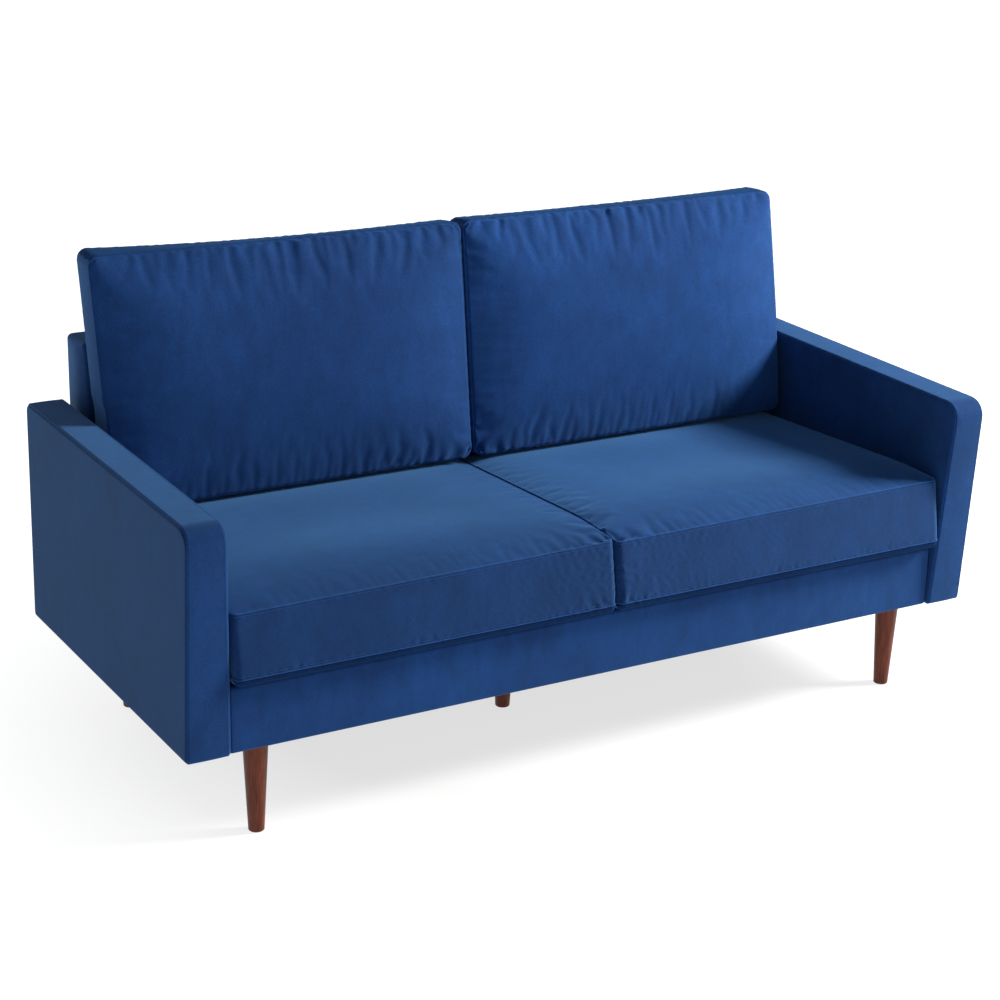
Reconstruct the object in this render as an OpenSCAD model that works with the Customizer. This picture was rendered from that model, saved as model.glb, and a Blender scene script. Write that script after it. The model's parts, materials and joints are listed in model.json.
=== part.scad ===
// Two-seat sofa with velvet covers and round tapered wooden legs.
// Origin: centre of the footprint on the floor. +X points to the right of someone who
// faces the sofa, -Y is the front, +Z is up. Left and right are that person's.
// Millimetres and degrees.

/* [Overall] */
// Width over both arms
sofa_w = 1770; // [1700:10:1900]
// Depth, from the upper front edge of the arms to the rear
sofa_d = 818; // [800:2:840]
// Height of the seat frame's underside above the floor
clearance = 183; // [170:1:190]

/* [Arms] */
// Height of the arm's top at the front
arm_h_front = 628; // [615:1:635]
// Height of the arm's top at the rear
arm_h_rear = 640; // [630:1:650]
// Width of the arm at its underside
arm_w_bottom = 88; // [86:1:100]
// Width of the arm at its top
arm_w_top = 76.5; // [75:0.5:85]
// How far the arm's front leans forward from bottom to top
arm_rake = 28; // [20:1:35]

/* [Seat] */
// Height of the seat deck above the floor at the front rail
deck_h = 316; // [312:1:322]
// Slope of the seat, down towards the back
seat_slope = 1.8; // [1:0.1:2.5]
// Thickness of a seat cushion at its front edge
seat_t = 158; // [140:1:165]
// Height of the crown on top of a seat cushion
seat_crown = 10; // [4:1:14]

/* [Back] */
// Height of the back frame's top
back_h = 770; // [740:1:780]
// Thickness of the back frame at its top
back_t_top = 98; // [90:1:105]
// Lean of the back cushions, and of the back frame's front
back_lean = 8; // [6:0.5:9]
// Height of a back cushion along its lean
back_cushion_h = 492; // [470:1:500]
// Width of the boxing round a back cushion
back_boxing = 69; // [55:1:75]
// Bulge of each face of a back cushion
back_crown = 29; // [15:1:32]

/* [Legs] */
// Diameter of a leg at its top
leg_d_top = 48; // [44:1:52]
// Diameter of a leg at the floor
leg_d_foot = 30; // [28:1:34]
// Offset of the middle leg to the left of the centre line
centre_leg_offset = 51; // [30:1:60]

/* [Hidden] */
$fn = 48;

// Colours
velvet = [0.11, 0.20, 0.45];
walnut = [0.36, 0.19, 0.13];
pine = [0.82, 0.68, 0.47];
hardboard = [0.55, 0.40, 0.27];
steel = [0.62, 0.63, 0.65];
foam_white = [0.93, 0.91, 0.84];
cloth_black = [0.08, 0.08, 0.09];
felt_grey = [0.70, 0.70, 0.68];
nylon_grey = [0.30, 0.30, 0.31];

// Thicknesses and gaps
cloth_t = 2;        // velvet cover with its lining
fill_t = 2.3;       // depth of a cushion's filling below its cover's outside
padding_t = 5;      // depth of the foam below the velvet on the arms, back and front rail
board_t = 22;       // boards of the seat frame
post_w = 44;        // square timbers of the arms and back
panel_t = 3;        // hardboard on the arms
rail_foam_t = 8;    // foam on the front rail
plate_t = 3;        // steel plate above a leg
dust_t = 1;         // dust cloth under the seat
slide_gap = 0.6;    // between a cushion and what it slides on
side_gap = 0.5;     // between parts that stand next to each other

// Main planes
half_w = sofa_w / 2;
front_y = -sofa_d / 2;
rear_y = sofa_d / 2;
arm_foot_y = front_y + arm_rake;
arm_inner_x = half_w - arm_w_bottom;
seat_half_w = arm_inner_x - side_gap;
frame_z = clearance + plate_t;
rail_face_y = arm_foot_y + 7;
front_rail_y = rail_face_y + cloth_t + rail_foam_t;
back_rear_y = rear_y - 4;
back_face_y = back_rear_y - back_t_top - tan(back_lean) * (back_h - deck_h);
tongue_y = back_rear_y - 58;
rear_rail_y = tongue_y - 2 - board_t;

// ---- Outlines ----

// Points of an arc round c from angle a0 to angle a1
function arc(c, r, a0, a1, n = 6) =
    [for (i = [0:n]) c + r * [cos(a0 + (a1 - a0) * i / n), sin(a0 + (a1 - a0) * i / n)]];

// Corner b of a polygon, rounded to radius r between its neighbours a and c
function fillet(a, b, c, r) =
    let (u = (a - b) / norm(a - b),
         v = (c - b) / norm(c - b),
         half = acos(u * v) / 2,
         o = b + (u + v) / norm(u + v) * r / sin(half),
         p = b + u * r / tan(half) - o,
         q = b + v * r / tan(half) - o,
         a0 = atan2(p[1], p[0]),
         turn = atan2(q[1], q[0]) - a0)
    arc(o, r, a0, a0 + (turn > 180 ? turn - 360 : turn < -180 ? turn + 360 : turn));

// Polygon with corner i rounded to radius radii[i]; 0 leaves it sharp
function rounded(pts, radii) =
    let (n = len(pts))
    [for (i = [0:n - 1])
        each radii[i] == 0
            ? [pts[i]]
            : fillet(pts[(i + n - 1) % n], pts[i], pts[(i + 1) % n], radii[i])];

// Bulging line from a to b that stands s proud on its right-hand side
function crowned(a, b, s, n = 10) =
    let (d = (b - a) / norm(b - a))
    [for (i = [0:n]) a + (b - a) * i / n + [d[1], -d[0]] * 4 * s * i * (n - i) / (n * n)];

// Extrude a [y, z] outline along X from x0 to x1
module along_x(x0, x1, pts) {
    translate([x0, 0, 0])
        rotate([90, 0, 90])
            linear_extrude(x1 - x0)
                polygon(pts);
}

// Extrude an [x, z] outline along Y from y0 to y1
module along_y(y0, y1, pts) {
    translate([0, y1, 0])
        rotate([90, 0, 0])
            linear_extrude(y1 - y0)
                polygon(pts);
}

// Box between two opposite corners
module block(a, b) {
    translate(a)
        cube(b - a);
}

// Mirror to the left side when side is -1
module flip(side) {
    mirror([side < 0 ? 1 : 0, 0, 0])
        children();
}

// Tilted frame of the seat deck: origin at the top of the front rail's face, y backwards
module on_deck() {
    translate([0, rail_face_y, deck_h])
        rotate([-seat_slope, 0, 0])
            children();
}

// ---- Fasteners ----

bolt_r = 4;
bolt_hole_r = 4.3;
bolt_z = frame_z + post_w / 2;
arm_bolt_ys = [-250, 100];
back_bolt_xs = [-500, 500];
screw_r = 2;
screw_hole_r = 2.1;
screw_pitch = 24;
leg_x = 730;
front_leg_y = rail_face_y + 43;
rear_leg_y = rear_y - 120;
leg_spots = [
    [-leg_x, front_leg_y], [leg_x, front_leg_y],
    [-leg_x, rear_leg_y], [leg_x, rear_leg_y],
    [-centre_leg_offset, front_y + 347]
];
hanger_z0 = clearance - 32;
hanger_z1 = frame_z + 26;

// Hexagon-head bolt with its washer under the head, along +Z from the washer's seat
module frame_bolt(length) {
    translate([0, 0, -2])
        cylinder(r = 11, h = 2);
    translate([0, 0, -8])
        cylinder(r = 7.2, h = 6, $fn = 6);
    translate([0, 0, -2])
        cylinder(r = bolt_r, h = length + 2);
}

module at_arm_bolts() {
    for (side = [-1, 1], y = arm_bolt_ys)
        flip(side)
            translate([seat_half_w - board_t, y, bolt_z])
                rotate([0, 90, 0])
                    children();
}

module at_back_bolts() {
    for (x = back_bolt_xs)
        translate([x, rear_rail_y, bolt_z])
            rotate([-90, 0, 0])
                children();
}

module arm_bolt_holes(r) {
    at_arm_bolts()
        translate([0, 0, -5])
            cylinder(r = r, h = 99);
}

module back_bolt_holes(r) {
    at_back_bolts()
        translate([0, 0, -5])
            cylinder(r = r, h = 76);
}

module at_plate_screws() {
    for (p = leg_spots, dx = [-1, 1], dy = [-1, 1])
        translate([p[0] + dx * screw_pitch, p[1] + dy * screw_pitch, 0])
            children();
}

// Holes for the leg hardware in the timber above the plates
module leg_hardware_holes() {
    for (p = leg_spots)
        translate([p[0], p[1], frame_z - 1])
            cylinder(r = bolt_hole_r, h = hanger_z1 - frame_z + 3);
    at_plate_screws()
        translate([0, 0, frame_z - 1])
            cylinder(r = screw_hole_r, h = 20);
}

module frame_bolts() {
    color(steel) {
        at_arm_bolts()
            frame_bolt(90);
        at_back_bolts()
            frame_bolt(68);
    }
}

// ---- Seat frame ----

// Height of the deck plane at a given y
function deck_z(y) = deck_h - tan(seat_slope) * (y - rail_face_y);
deck_build = 19;    // cloth, pad, springs and clips below the deck plane
front_rail_top = deck_z(front_rail_y + board_t) - deck_build;
rear_rail_top = deck_z(rear_rail_y + board_t) - deck_build;
rail_back_y = front_rail_y + board_t;

module front_rail() {
    color(pine)
        difference() {
            block([-seat_half_w, front_rail_y, frame_z],
                  [seat_half_w, rail_back_y, front_rail_top]);
            leg_hardware_holes();
        }
}

module rear_rail() {
    color(pine)
        difference() {
            block([-seat_half_w, rear_rail_y, frame_z],
                  [seat_half_w, rear_rail_y + board_t, rear_rail_top]);
            back_bolt_holes(bolt_hole_r);
        }
}

module side_rail(side) {
    color(pine)
        flip(side)
            difference() {
                block([seat_half_w - board_t, rail_back_y, frame_z],
                      [seat_half_w, rear_rail_y, rear_rail_top]);
                arm_bolt_holes(bolt_hole_r);
            }
}

module centre_rail() {
    color(pine)
        difference() {
            block([-centre_leg_offset - 35, rail_back_y, frame_z],
                  [-centre_leg_offset + 35, rear_rail_y, frame_z + post_w]);
            leg_hardware_holes();
        }
}

module corner_blocks() {
    size = 74;
    color(pine)
        difference() {
            for (side = [-1, 1], y = [rail_back_y, rear_rail_y - size])
                flip(side)
                    block([seat_half_w - board_t - size, y, frame_z],
                          [seat_half_w - board_t, y + size, frame_z + post_w]);
            leg_hardware_holes();
        }
}

// Sinuous springs: flat serpentine wires from the front rail to the rear rail
wire_w = 4;
spring_count = 8;
spring_pitch = 186;
spring_turns = 20;
spring_run = 14;
spring_z = -14.3;
clip_y0 = rail_back_y - rail_face_y + 0.6;
clip_d = 11;
spring_y0 = clip_y0 + clip_d / 2;
spring_y1 = rear_rail_y - rail_face_y - 0.6 - clip_d / 2;
spring_r = (spring_y1 - spring_y0) / (2 * spring_turns);

// One side of a serpentine: side is 1 for its left edge and -1 for its right edge
function serpentine(side) =
    [for (i = [0:spring_turns - 1])
        let (s = i % 2 == 0 ? 1 : -1)
        each arc([s * spring_run, spring_y0 + (2 * i + 1) * spring_r],
                 spring_r - side * s * wire_w / 2, -90, s > 0 ? 90 : -270, 5)];

module spring_wire() {
    right = serpentine(-1);
    left = serpentine(1);
    n = len(left);
    linear_extrude(wire_w)
        polygon(concat(
            [[-spring_run, spring_y0 + wire_w / 2], [-spring_run, spring_y0 - wire_w / 2]],
            right,
            [[spring_run, spring_y1 - wire_w / 2], [spring_run, spring_y1 + wire_w / 2]],
            [for (i = [1:n]) left[n - i]]));
}

module at_springs() {
    on_deck()
        for (i = [0:spring_count - 1])
            translate([(i - (spring_count - 1) / 2) * spring_pitch, 0, 0])
                children();
}

module seat_springs() {
    color(steel)
        at_springs()
            translate([0, 0, spring_z])
                spring_wire();
}

module spring_clips() {
    color(steel)
        at_springs()
            for (y = [spring_y0, spring_y1])
                difference() {
                    block([-10, y - clip_d / 2, -18.5], [10, y + clip_d / 2, -10.1]);
                    block([-11, y - wire_w / 2 - 0.2, spring_z - 0.2],
                          [11, y + wire_w / 2 + 0.2, -9]);
                }
}

deck_y0 = rail_back_y - rail_face_y + 5;
deck_y1 = rear_rail_y + board_t - rail_face_y - 2;

module deck_pad() {
    color(felt_grey)
        on_deck()
            block([-seat_half_w + 2, deck_y0, -10], [seat_half_w - 2, deck_y1, -2]);
}

module deck_cloth() {
    color(cloth_black)
        on_deck()
            block([-seat_half_w + 1, deck_y0, -2],
                  [seat_half_w - 1, deck_y1, -slide_gap]);
}

plate_w = 64;

module dust_cover() {
    hole = plate_w / 2 + 1;
    color(cloth_black)
        difference() {
            block([-seat_half_w, front_rail_y + 2, frame_z - dust_t],
                  [seat_half_w, rear_rail_y + board_t, frame_z]);
            for (p = leg_spots)
                block([p[0] - hole, p[1] - hole, frame_z - 5],
                      [p[0] + hole, p[1] + hole, frame_z + 5]);
        }
}

// Front rail's outline, t inside the velvet's outer face
rail_cover_top = deck_z(rail_back_y) - 2.5;
function rail_outline(t) = rounded([
    [rail_face_y + t, clearance + t], [rail_back_y - t, clearance + t],
    [rail_back_y - t, rail_cover_top - t], [rail_face_y + t, rail_cover_top - t]],
    [3, 0, 3, 9 - t]);

module front_rail_foam() {
    color(foam_white)
        difference() {
            along_x(-seat_half_w + 1, seat_half_w - 1, rail_outline(padding_t));
            block([-half_w, front_rail_y - 0.2, 0], [half_w, half_w, front_rail_top + 0.2]);
        }
}

// Velvet over the front rail: open at the back below the rail, with a short lip beneath
module front_rail_cover() {
    color(velvet)
        difference() {
            along_x(-seat_half_w, seat_half_w, rail_outline(0));
            along_x(-half_w, half_w, rail_outline(cloth_t));
            block([-half_w, front_rail_y - 0.5, 0], [half_w, half_w, front_rail_top]);
        }
}

// ---- Legs ----

glide_r = 11;
glide_t = 4;
foot_z = 1;         // the glide stands this far out of the leg

module leg(i) {
    color(walnut)
        translate([leg_spots[i][0], leg_spots[i][1], 0])
            rotate_extrude()
                polygon([
                    [0, glide_t + 0.1], [glide_r + 0.1, glide_t + 0.1], [glide_r + 0.1, foot_z],
                    [leg_d_foot / 2 - 1, foot_z], [leg_d_foot / 2, foot_z + 1.5],
                    [leg_d_top / 2, clearance - 1.5], [leg_d_top / 2 - 0.8, clearance],
                    [bolt_hole_r, clearance], [bolt_hole_r, hanger_z0 - 2], [0, hanger_z0 - 2]]);
}

module leg_glides() {
    color(nylon_grey)
        for (p = leg_spots)
            translate([p[0], p[1], 0])
                cylinder(r = glide_r, h = glide_t);
}

module leg_plates() {
    color(steel)
        difference() {
            for (p = leg_spots)
                block([p[0] - plate_w / 2, p[1] - plate_w / 2, clearance],
                      [p[0] + plate_w / 2, p[1] + plate_w / 2, frame_z]);
            for (p = leg_spots)
                translate([p[0], p[1], clearance - 1])
                    cylinder(r = bolt_hole_r, h = plate_t + 2);
            at_plate_screws()
                translate([0, 0, clearance - 1])
                    cylinder(r = screw_hole_r, h = plate_t + 2);
        }
}

module plate_screws() {
    color(steel)
        at_plate_screws() {
            translate([0, 0, clearance - 1.6])
                cylinder(r = 4, h = 1.6);
            translate([0, 0, clearance - 0.5])
                cylinder(r = screw_r, h = 18);
        }
}

module hanger_bolts() {
    color(steel)
        for (p = leg_spots)
            translate([p[0], p[1], hanger_z0])
                cylinder(r = bolt_r, h = hanger_z1 - hanger_z0);
}

// ---- Back frame ----

back_sole_z = deck_z(back_face_y) + 3.5;    // the back's underside, over the seat deck
post_y0 = back_rear_y - cloth_t - 6 - post_w;
post_y1 = post_y0 + post_w;
back_rail_top = back_h - cloth_t - 4;

// Solid of the upholstered back, shrunk by t on every side
module back_form(t) {
    face_top = back_rear_y - back_t_top;
    slant = t / cos(back_lean);
    intersection() {
        along_x(-seat_half_w + t, seat_half_w - t, rounded([
            [back_rear_y - t, clearance + t], [back_rear_y - t, back_h - t],
            [face_top + slant - tan(back_lean) * t, back_h - t],
            [back_face_y + slant, deck_h], [back_face_y + slant, back_sole_z + t],
            [tongue_y + t, back_sole_z + t], [tongue_y + t, clearance + t]],
            [0, 10 - t, 14 - t, 0, 0, 0, 0]));
        along_y(0, rear_y, rounded([
            [-seat_half_w, 0], [seat_half_w, 0],
            [seat_half_w - t, back_h - t], [-seat_half_w + t, back_h - t]],
            [0, 0, 14 - t, 14 - t]));
    }
}

module back_top_rail() {
    color(pine)
        block([-seat_half_w + 12, post_y0, back_rail_top - post_w],
              [seat_half_w - 12, post_y1, back_rail_top]);
}

module back_bottom_rail() {
    color(pine)
        difference() {
            block([-seat_half_w + 4, post_y0, frame_z],
                  [seat_half_w - 4, post_y1, frame_z + post_w]);
            back_bolt_holes(bolt_hole_r);
        }
}

module back_posts() {
    color(pine)
        for (x = [-seat_half_w + 12, -post_w / 2, seat_half_w - 12 - post_w])
            block([x, post_y0, frame_z + post_w],
                  [x + post_w, post_y1, back_rail_top - post_w]);
}

// Elastic straps across the front of the posts
module back_webbing() {
    strap_w = 50;
    color(cloth_black)
        for (i = [0:4])
            translate([0, 0, back_sole_z + 30 + i * 86])
                block([-seat_half_w + 12, post_y0 - 1.6, 0],
                      [seat_half_w - 12, post_y0, strap_w]);
}

module back_foam() {
    color(foam_white)
        intersection() {
            back_form(padding_t);
            block([-half_w, 0, back_sole_z], [half_w, post_y0 - 2, back_h]);
        }
}

module back_cover() {
    color(velvet)
        difference() {
            back_form(0);
            back_form(cloth_t);
            back_bolt_holes(bolt_hole_r + 0.7);
        }
}

// ---- Arms: drawn on the right, mirrored for the left ----

slab_x1 = half_w - cloth_t - 10 - panel_t;
slab_x0 = slab_x1 - post_w;
arm_front_post_y = arm_foot_y + 16;
arm_timber_rear_y = rear_y - 17;
arm_timber_top = arm_h_front - 18;
arm_edge_r = 8;     // rounding of the arm's long edges

// Solid of an arm, shrunk by t on every side
module arm_form(t) {
    edge = arm_edge_r - t;
    intersection() {
        along_x(arm_inner_x - 50, half_w - t, rounded([
            [arm_foot_y + t, clearance + t], [rear_y - t, clearance + t],
            [rear_y - 8 - t, arm_h_rear - t], [front_y + t, arm_h_front - t]],
            [8 - t, 12 - t, 18 - t, 38 - t]));
        along_y(front_y - 1, rear_y + 1, rounded([
            [arm_inner_x + t, clearance], [half_w - t, clearance],
            [half_w - t, arm_h_rear - t], [half_w - arm_w_top + t, arm_h_rear - t]],
            [0, 0, edge, edge]));
        linear_extrude(arm_h_rear + 1)
            polygon(rounded([
                [arm_inner_x + t, front_y + t], [half_w - t, front_y + t],
                [half_w - t, rear_y - t], [arm_inner_x + t, rear_y - t]],
                [0, edge, edge, 0]));
    }
}

module arm_front_post(side) {
    color(pine)
        flip(side)
            block([slab_x0, arm_front_post_y, frame_z + post_w],
                  [slab_x1, arm_front_post_y + post_w, arm_timber_top - post_w]);
}

module arm_rear_post(side) {
    color(pine)
        flip(side)
            block([slab_x0, arm_timber_rear_y - post_w, frame_z + post_w],
                  [slab_x1, arm_timber_rear_y, arm_timber_top - post_w]);
}

module arm_top_rail(side) {
    color(pine)
        flip(side)
            block([slab_x0, arm_front_post_y, arm_timber_top - post_w],
                  [slab_x1, arm_timber_rear_y, arm_timber_top]);
}

module arm_bottom_rail(side) {
    color(pine)
        flip(side)
            difference() {
                block([slab_x0, arm_front_post_y, frame_z],
                      [slab_x1, arm_timber_rear_y, frame_z + post_w]);
                arm_bolt_holes(bolt_hole_r);
            }
}

// Hardboard on both faces of the arm's timbers
module arm_panels(side) {
    color(hardboard)
        flip(side)
            difference() {
                for (x = [slab_x0 - panel_t, slab_x1])
                    block([x, arm_front_post_y, frame_z],
                          [x + panel_t, arm_timber_rear_y, arm_timber_top]);
                arm_bolt_holes(bolt_hole_r);
            }
}

module arm_foam(side) {
    color(foam_white)
        flip(side)
            difference() {
                arm_form(padding_t);
                block([slab_x0 - panel_t - 0.2, arm_front_post_y - 0.2, 0],
                      [slab_x1 + panel_t + 0.2, half_w, arm_timber_top + 0.2]);
                arm_bolt_holes(bolt_hole_r + 0.7);
            }
}

module arm_cover(side) {
    color(velvet)
        flip(side)
            difference() {
                arm_form(0);
                arm_form(cloth_t);
                arm_bolt_holes(bolt_hole_r + 0.7);
            }
}

// ---- Zips: a tape behind a slot in a cover, and a slider that runs in the slot ----

zip_len = 600;
zip_slot_w = 14;
zip_pocket = 8;     // depth from the cover's outside to the back of the tape

// The zip's frame: x along the tape from its middle, y across it, z into the cushion
module zip_slot() {
    block([-zip_len / 2, -zip_slot_w / 2, -3], [zip_len / 2, zip_slot_w / 2, cloth_t + 0.5]);
}

module zip_pocket() {
    block([-zip_len / 2 - 12, -zip_slot_w / 2 - 8, -3],
          [zip_len / 2 + 12, zip_slot_w / 2 + 8, zip_pocket]);
}

module zip_tape() {
    color(cloth_black) {
        block([-zip_len / 2 - 10, -13, zip_pocket - 1.5], [zip_len / 2 + 10, 13, zip_pocket - 0.2]);
    }
}

module zip_slider() {
    x = -zip_len / 2 + 14;
    color(steel) {
        block([x - 6, -4.5, 2], [x + 6, 4.5, zip_pocket - 1.9]);
        block([x - 2, -1.2, 0.9], [x + 2, 1.2, 2]);
        block([x - 3, -2.5, 0.5], [x + 19, 2.5, 1.5]);
    }
}

// ---- Seat cushions: drawn on the right in the deck's frame, mirrored for the left ----

seat_x0 = 1;
seat_x1 = seat_half_w + 1;
seat_front = -30;
seat_rear = (back_face_y - 3 * side_gap - rail_face_y) / cos(seat_slope);
seat_t_rear = seat_t - 8;

module seat_form(t) {
    intersection() {
        along_x(seat_x0 + t, seat_x1 - t, concat(
            rounded([
                [seat_front + 19 + t, seat_t - t], [seat_front + t, 26],
                [seat_front + 4 + t, t], [seat_rear - t, t]], [0, 18, 12, 0]),
            crowned([seat_rear - t, seat_t_rear - t], [seat_front + 19 + t, seat_t - t],
                    seat_crown)));
        linear_extrude(seat_t + seat_crown + 10)
            polygon(rounded([
                [seat_x0 + t, seat_front + t], [seat_x1 - t, seat_front + t],
                [seat_x1 - t, seat_rear - t], [seat_x0 + t, seat_rear - t]],
                [25 - t, 25 - t, 10 - t, 10 - t]));
    }
}

module at_seat_zip() {
    translate([(seat_x0 + seat_x1) / 2, seat_rear, 70])
        rotate([90, 0, 0])
            children();
}

module seat_cushion_cover(side) {
    color(velvet)
        flip(side)
            on_deck()
                difference() {
                    seat_form(0);
                    seat_form(cloth_t);
                    at_seat_zip()
                        zip_slot();
                }
}

module seat_cushion_foam(side) {
    color(foam_white)
        flip(side)
            on_deck()
                difference() {
                    seat_form(fill_t);
                    at_seat_zip()
                        zip_pocket();
                }
}

module seat_cushion_zip(side) {
    flip(side)
        on_deck()
            at_seat_zip()
                zip_tape();
}

module seat_cushion_slider(side) {
    flip(side)
        on_deck()
            at_seat_zip()
                zip_slider();
}

// ---- Back cushions: drawn on the right, mirrored for the left ----

back_x0 = 1.5;
back_x1 = seat_half_w + 3;

// Height of the seat cushion's top over the deck plane, at y behind the rail's face
function seat_top(y) =
    let (run = seat_rear - seat_front - 19, u = (y - seat_front - 19) / run)
    seat_t + (seat_t_rear - seat_t) * u + 4 * seat_crown * u * (1 - u);

back_foot_y = seat_rear - back_crown - back_boxing - 8;   // front edge of the cushion's foot
back_rest = seat_top(back_foot_y) + slide_gap;
back_foot_rear = (back_face_y - rail_face_y
        + back_rest * (tan(back_lean) * cos(seat_slope) - sin(seat_slope)))
    / (cos(seat_slope) + tan(back_lean) * sin(seat_slope));

// The back cushion's frame: origin where the back's face meets the seat's top plane,
// z up along the lean, y square to the back frame's face
module on_back() {
    on_deck()
        translate([0, back_foot_rear, back_rest])
            rotate([seat_slope - back_lean, 0, 0])
                children();
}

module back_cushion_form(t) {
    rear = -slide_gap - back_crown - t;
    front = rear - back_boxing + 2 * t;
    sole = tan(back_lean - seat_slope);
    top = back_cushion_h - t;
    lift = t / cos(back_lean - seat_slope);
    intersection() {
        along_x(back_x0 + t, back_x1 - t, concat(
            crowned([rear, rear * sole + lift], [rear, top], back_crown),
            crowned([front, top], [front, front * sole + lift], back_crown)));
        translate([0, 0, -back_cushion_h])
            linear_extrude(2 * back_cushion_h)
                polygon(concat(
                    crowned([back_x1 - t, rear], [back_x0 + t, rear], back_crown),
                    crowned([back_x0 + t, front], [back_x1 - t, front], back_crown)));
    }
}

module at_back_zip() {
    on_deck()
        translate([(back_x0 + back_x1) / 2,
                   back_foot_rear - slide_gap - back_crown - back_boxing / 2, back_rest])
            children();
}

module back_cushion_cover(side) {
    color(velvet)
        flip(side)
            difference() {
                on_back()
                    back_cushion_form(0);
                on_back()
                    back_cushion_form(cloth_t);
                at_back_zip()
                    zip_slot();
            }
}

module back_cushion_fill(side) {
    color(foam_white)
        flip(side)
            difference() {
                on_back()
                    back_cushion_form(fill_t);
                at_back_zip()
                    zip_pocket();
            }
}

module back_cushion_zip(side) {
    flip(side)
        at_back_zip()
            zip_tape();
}

module back_cushion_slider(side) {
    flip(side)
        at_back_zip()
            zip_slider();
}

// ---- Nodes ----

front_rail();
rear_rail();
side_rail(-1);  // side_rail_left
side_rail(1);  // side_rail_right
centre_rail();
corner_blocks();
seat_springs();
spring_clips();
deck_pad();
deck_cloth();
dust_cover();
front_rail_foam();
front_rail_cover();
leg(0);  // leg_front_left
leg(1);  // leg_front_right
leg(2);  // leg_rear_left
leg(3);  // leg_rear_right
leg(4);  // leg_centre
leg_plates();
plate_screws();
hanger_bolts();
leg_glides();
back_top_rail();
back_bottom_rail();
back_posts();
back_webbing();
back_foam();
back_cover();
frame_bolts();
arm_front_post(-1);  // arm_left_front_post
arm_rear_post(-1);  // arm_left_rear_post
arm_top_rail(-1);  // arm_left_top_rail
arm_bottom_rail(-1);  // arm_left_bottom_rail
arm_panels(-1);  // arm_left_panels
arm_foam(-1);  // arm_left_foam
arm_cover(-1);  // arm_left_cover
arm_front_post(1);  // arm_right_front_post
arm_rear_post(1);  // arm_right_rear_post
arm_top_rail(1);  // arm_right_top_rail
arm_bottom_rail(1);  // arm_right_bottom_rail
arm_panels(1);  // arm_right_panels
arm_foam(1);  // arm_right_foam
arm_cover(1);  // arm_right_cover
seat_cushion_cover(-1);  // seat_cushion_left_cover
seat_cushion_foam(-1);  // seat_cushion_left_foam
seat_cushion_zip(-1);  // seat_cushion_left_zip
seat_cushion_slider(-1);  // seat_cushion_left_slider
seat_cushion_cover(1);  // seat_cushion_right_cover
seat_cushion_foam(1);  // seat_cushion_right_foam
seat_cushion_zip(1);  // seat_cushion_right_zip
seat_cushion_slider(1);  // seat_cushion_right_slider
back_cushion_cover(-1);  // back_cushion_left_cover
back_cushion_fill(-1);  // back_cushion_left_fill
back_cushion_zip(-1);  // back_cushion_left_zip
back_cushion_slider(-1);  // back_cushion_left_slider
back_cushion_cover(1);  // back_cushion_right_cover
back_cushion_fill(1);  // back_cushion_right_fill
back_cushion_zip(1);  // back_cushion_right_zip
back_cushion_slider(1);  // back_cushion_right_slider
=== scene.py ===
"""Looks of the two-seat velvet sofa with wooden legs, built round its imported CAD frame."""
import json
import math
from collections import namedtuple

import bmesh
import bpy
import numpy as np
from mathutils import Matrix, Vector
from mathutils.bvhtree import BVHTree


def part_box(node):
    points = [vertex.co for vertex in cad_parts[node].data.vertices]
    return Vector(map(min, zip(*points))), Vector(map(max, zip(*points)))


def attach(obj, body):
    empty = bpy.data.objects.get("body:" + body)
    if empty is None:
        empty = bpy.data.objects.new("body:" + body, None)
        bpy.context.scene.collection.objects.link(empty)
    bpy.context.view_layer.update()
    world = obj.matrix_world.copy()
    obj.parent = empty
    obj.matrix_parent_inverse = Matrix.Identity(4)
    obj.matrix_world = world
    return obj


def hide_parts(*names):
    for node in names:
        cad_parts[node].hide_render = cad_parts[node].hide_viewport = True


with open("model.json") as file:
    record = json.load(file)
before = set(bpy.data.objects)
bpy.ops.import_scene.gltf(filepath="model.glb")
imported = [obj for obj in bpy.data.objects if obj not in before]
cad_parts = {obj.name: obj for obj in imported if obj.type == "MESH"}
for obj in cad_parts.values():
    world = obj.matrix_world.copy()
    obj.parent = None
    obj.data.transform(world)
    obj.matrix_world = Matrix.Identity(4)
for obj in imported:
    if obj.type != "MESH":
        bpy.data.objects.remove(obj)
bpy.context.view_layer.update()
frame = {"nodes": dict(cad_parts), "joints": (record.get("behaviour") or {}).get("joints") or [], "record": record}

MM = 0.001
SIDES = {"left": -1, "right": 1}

# ---- Directions, from the joints that draw the cushions out ----

JOINTS = {j["name"]: j for j in frame["joints"]}
SIDE = np.array([1.0, 0.0, 0.0])
DECK_BACK = -np.array(JOINTS["seat_right_draw_out"]["axis"])
DECK_UP = np.cross(SIDE, DECK_BACK)
LEAN_UP = np.array(JOINTS["back_right_lift_out"]["axis"])
LEAN_FRONT = np.cross(SIDE, LEAN_UP)
DECK = np.array([SIDE, DECK_BACK, DECK_UP])
LEAN = np.array([SIDE, LEAN_UP, LEAN_FRONT])


def node_points(node):
    """A CAD node's vertices, one row each, in millimetres."""
    mesh = frame["nodes"][node].data
    co = np.zeros(len(mesh.vertices) * 3, np.float32)
    mesh.vertices.foreach_get("co", co)
    return co.reshape(-1, 3).astype(float) / MM


def local_box(node, axes, side=1):
    """Lowest and highest corner of a node in a local frame, mirrored to the right first."""
    points = node_points(node)
    points[:, 0] *= side
    local = points @ axes.T
    return local.min(0), local.max(0)


# ---- Mesh building ----

NEAR_SEAM = np.array([2.2, 5.0, 9.0, 14.0, 20.0])  # millimetres from a seam


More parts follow.
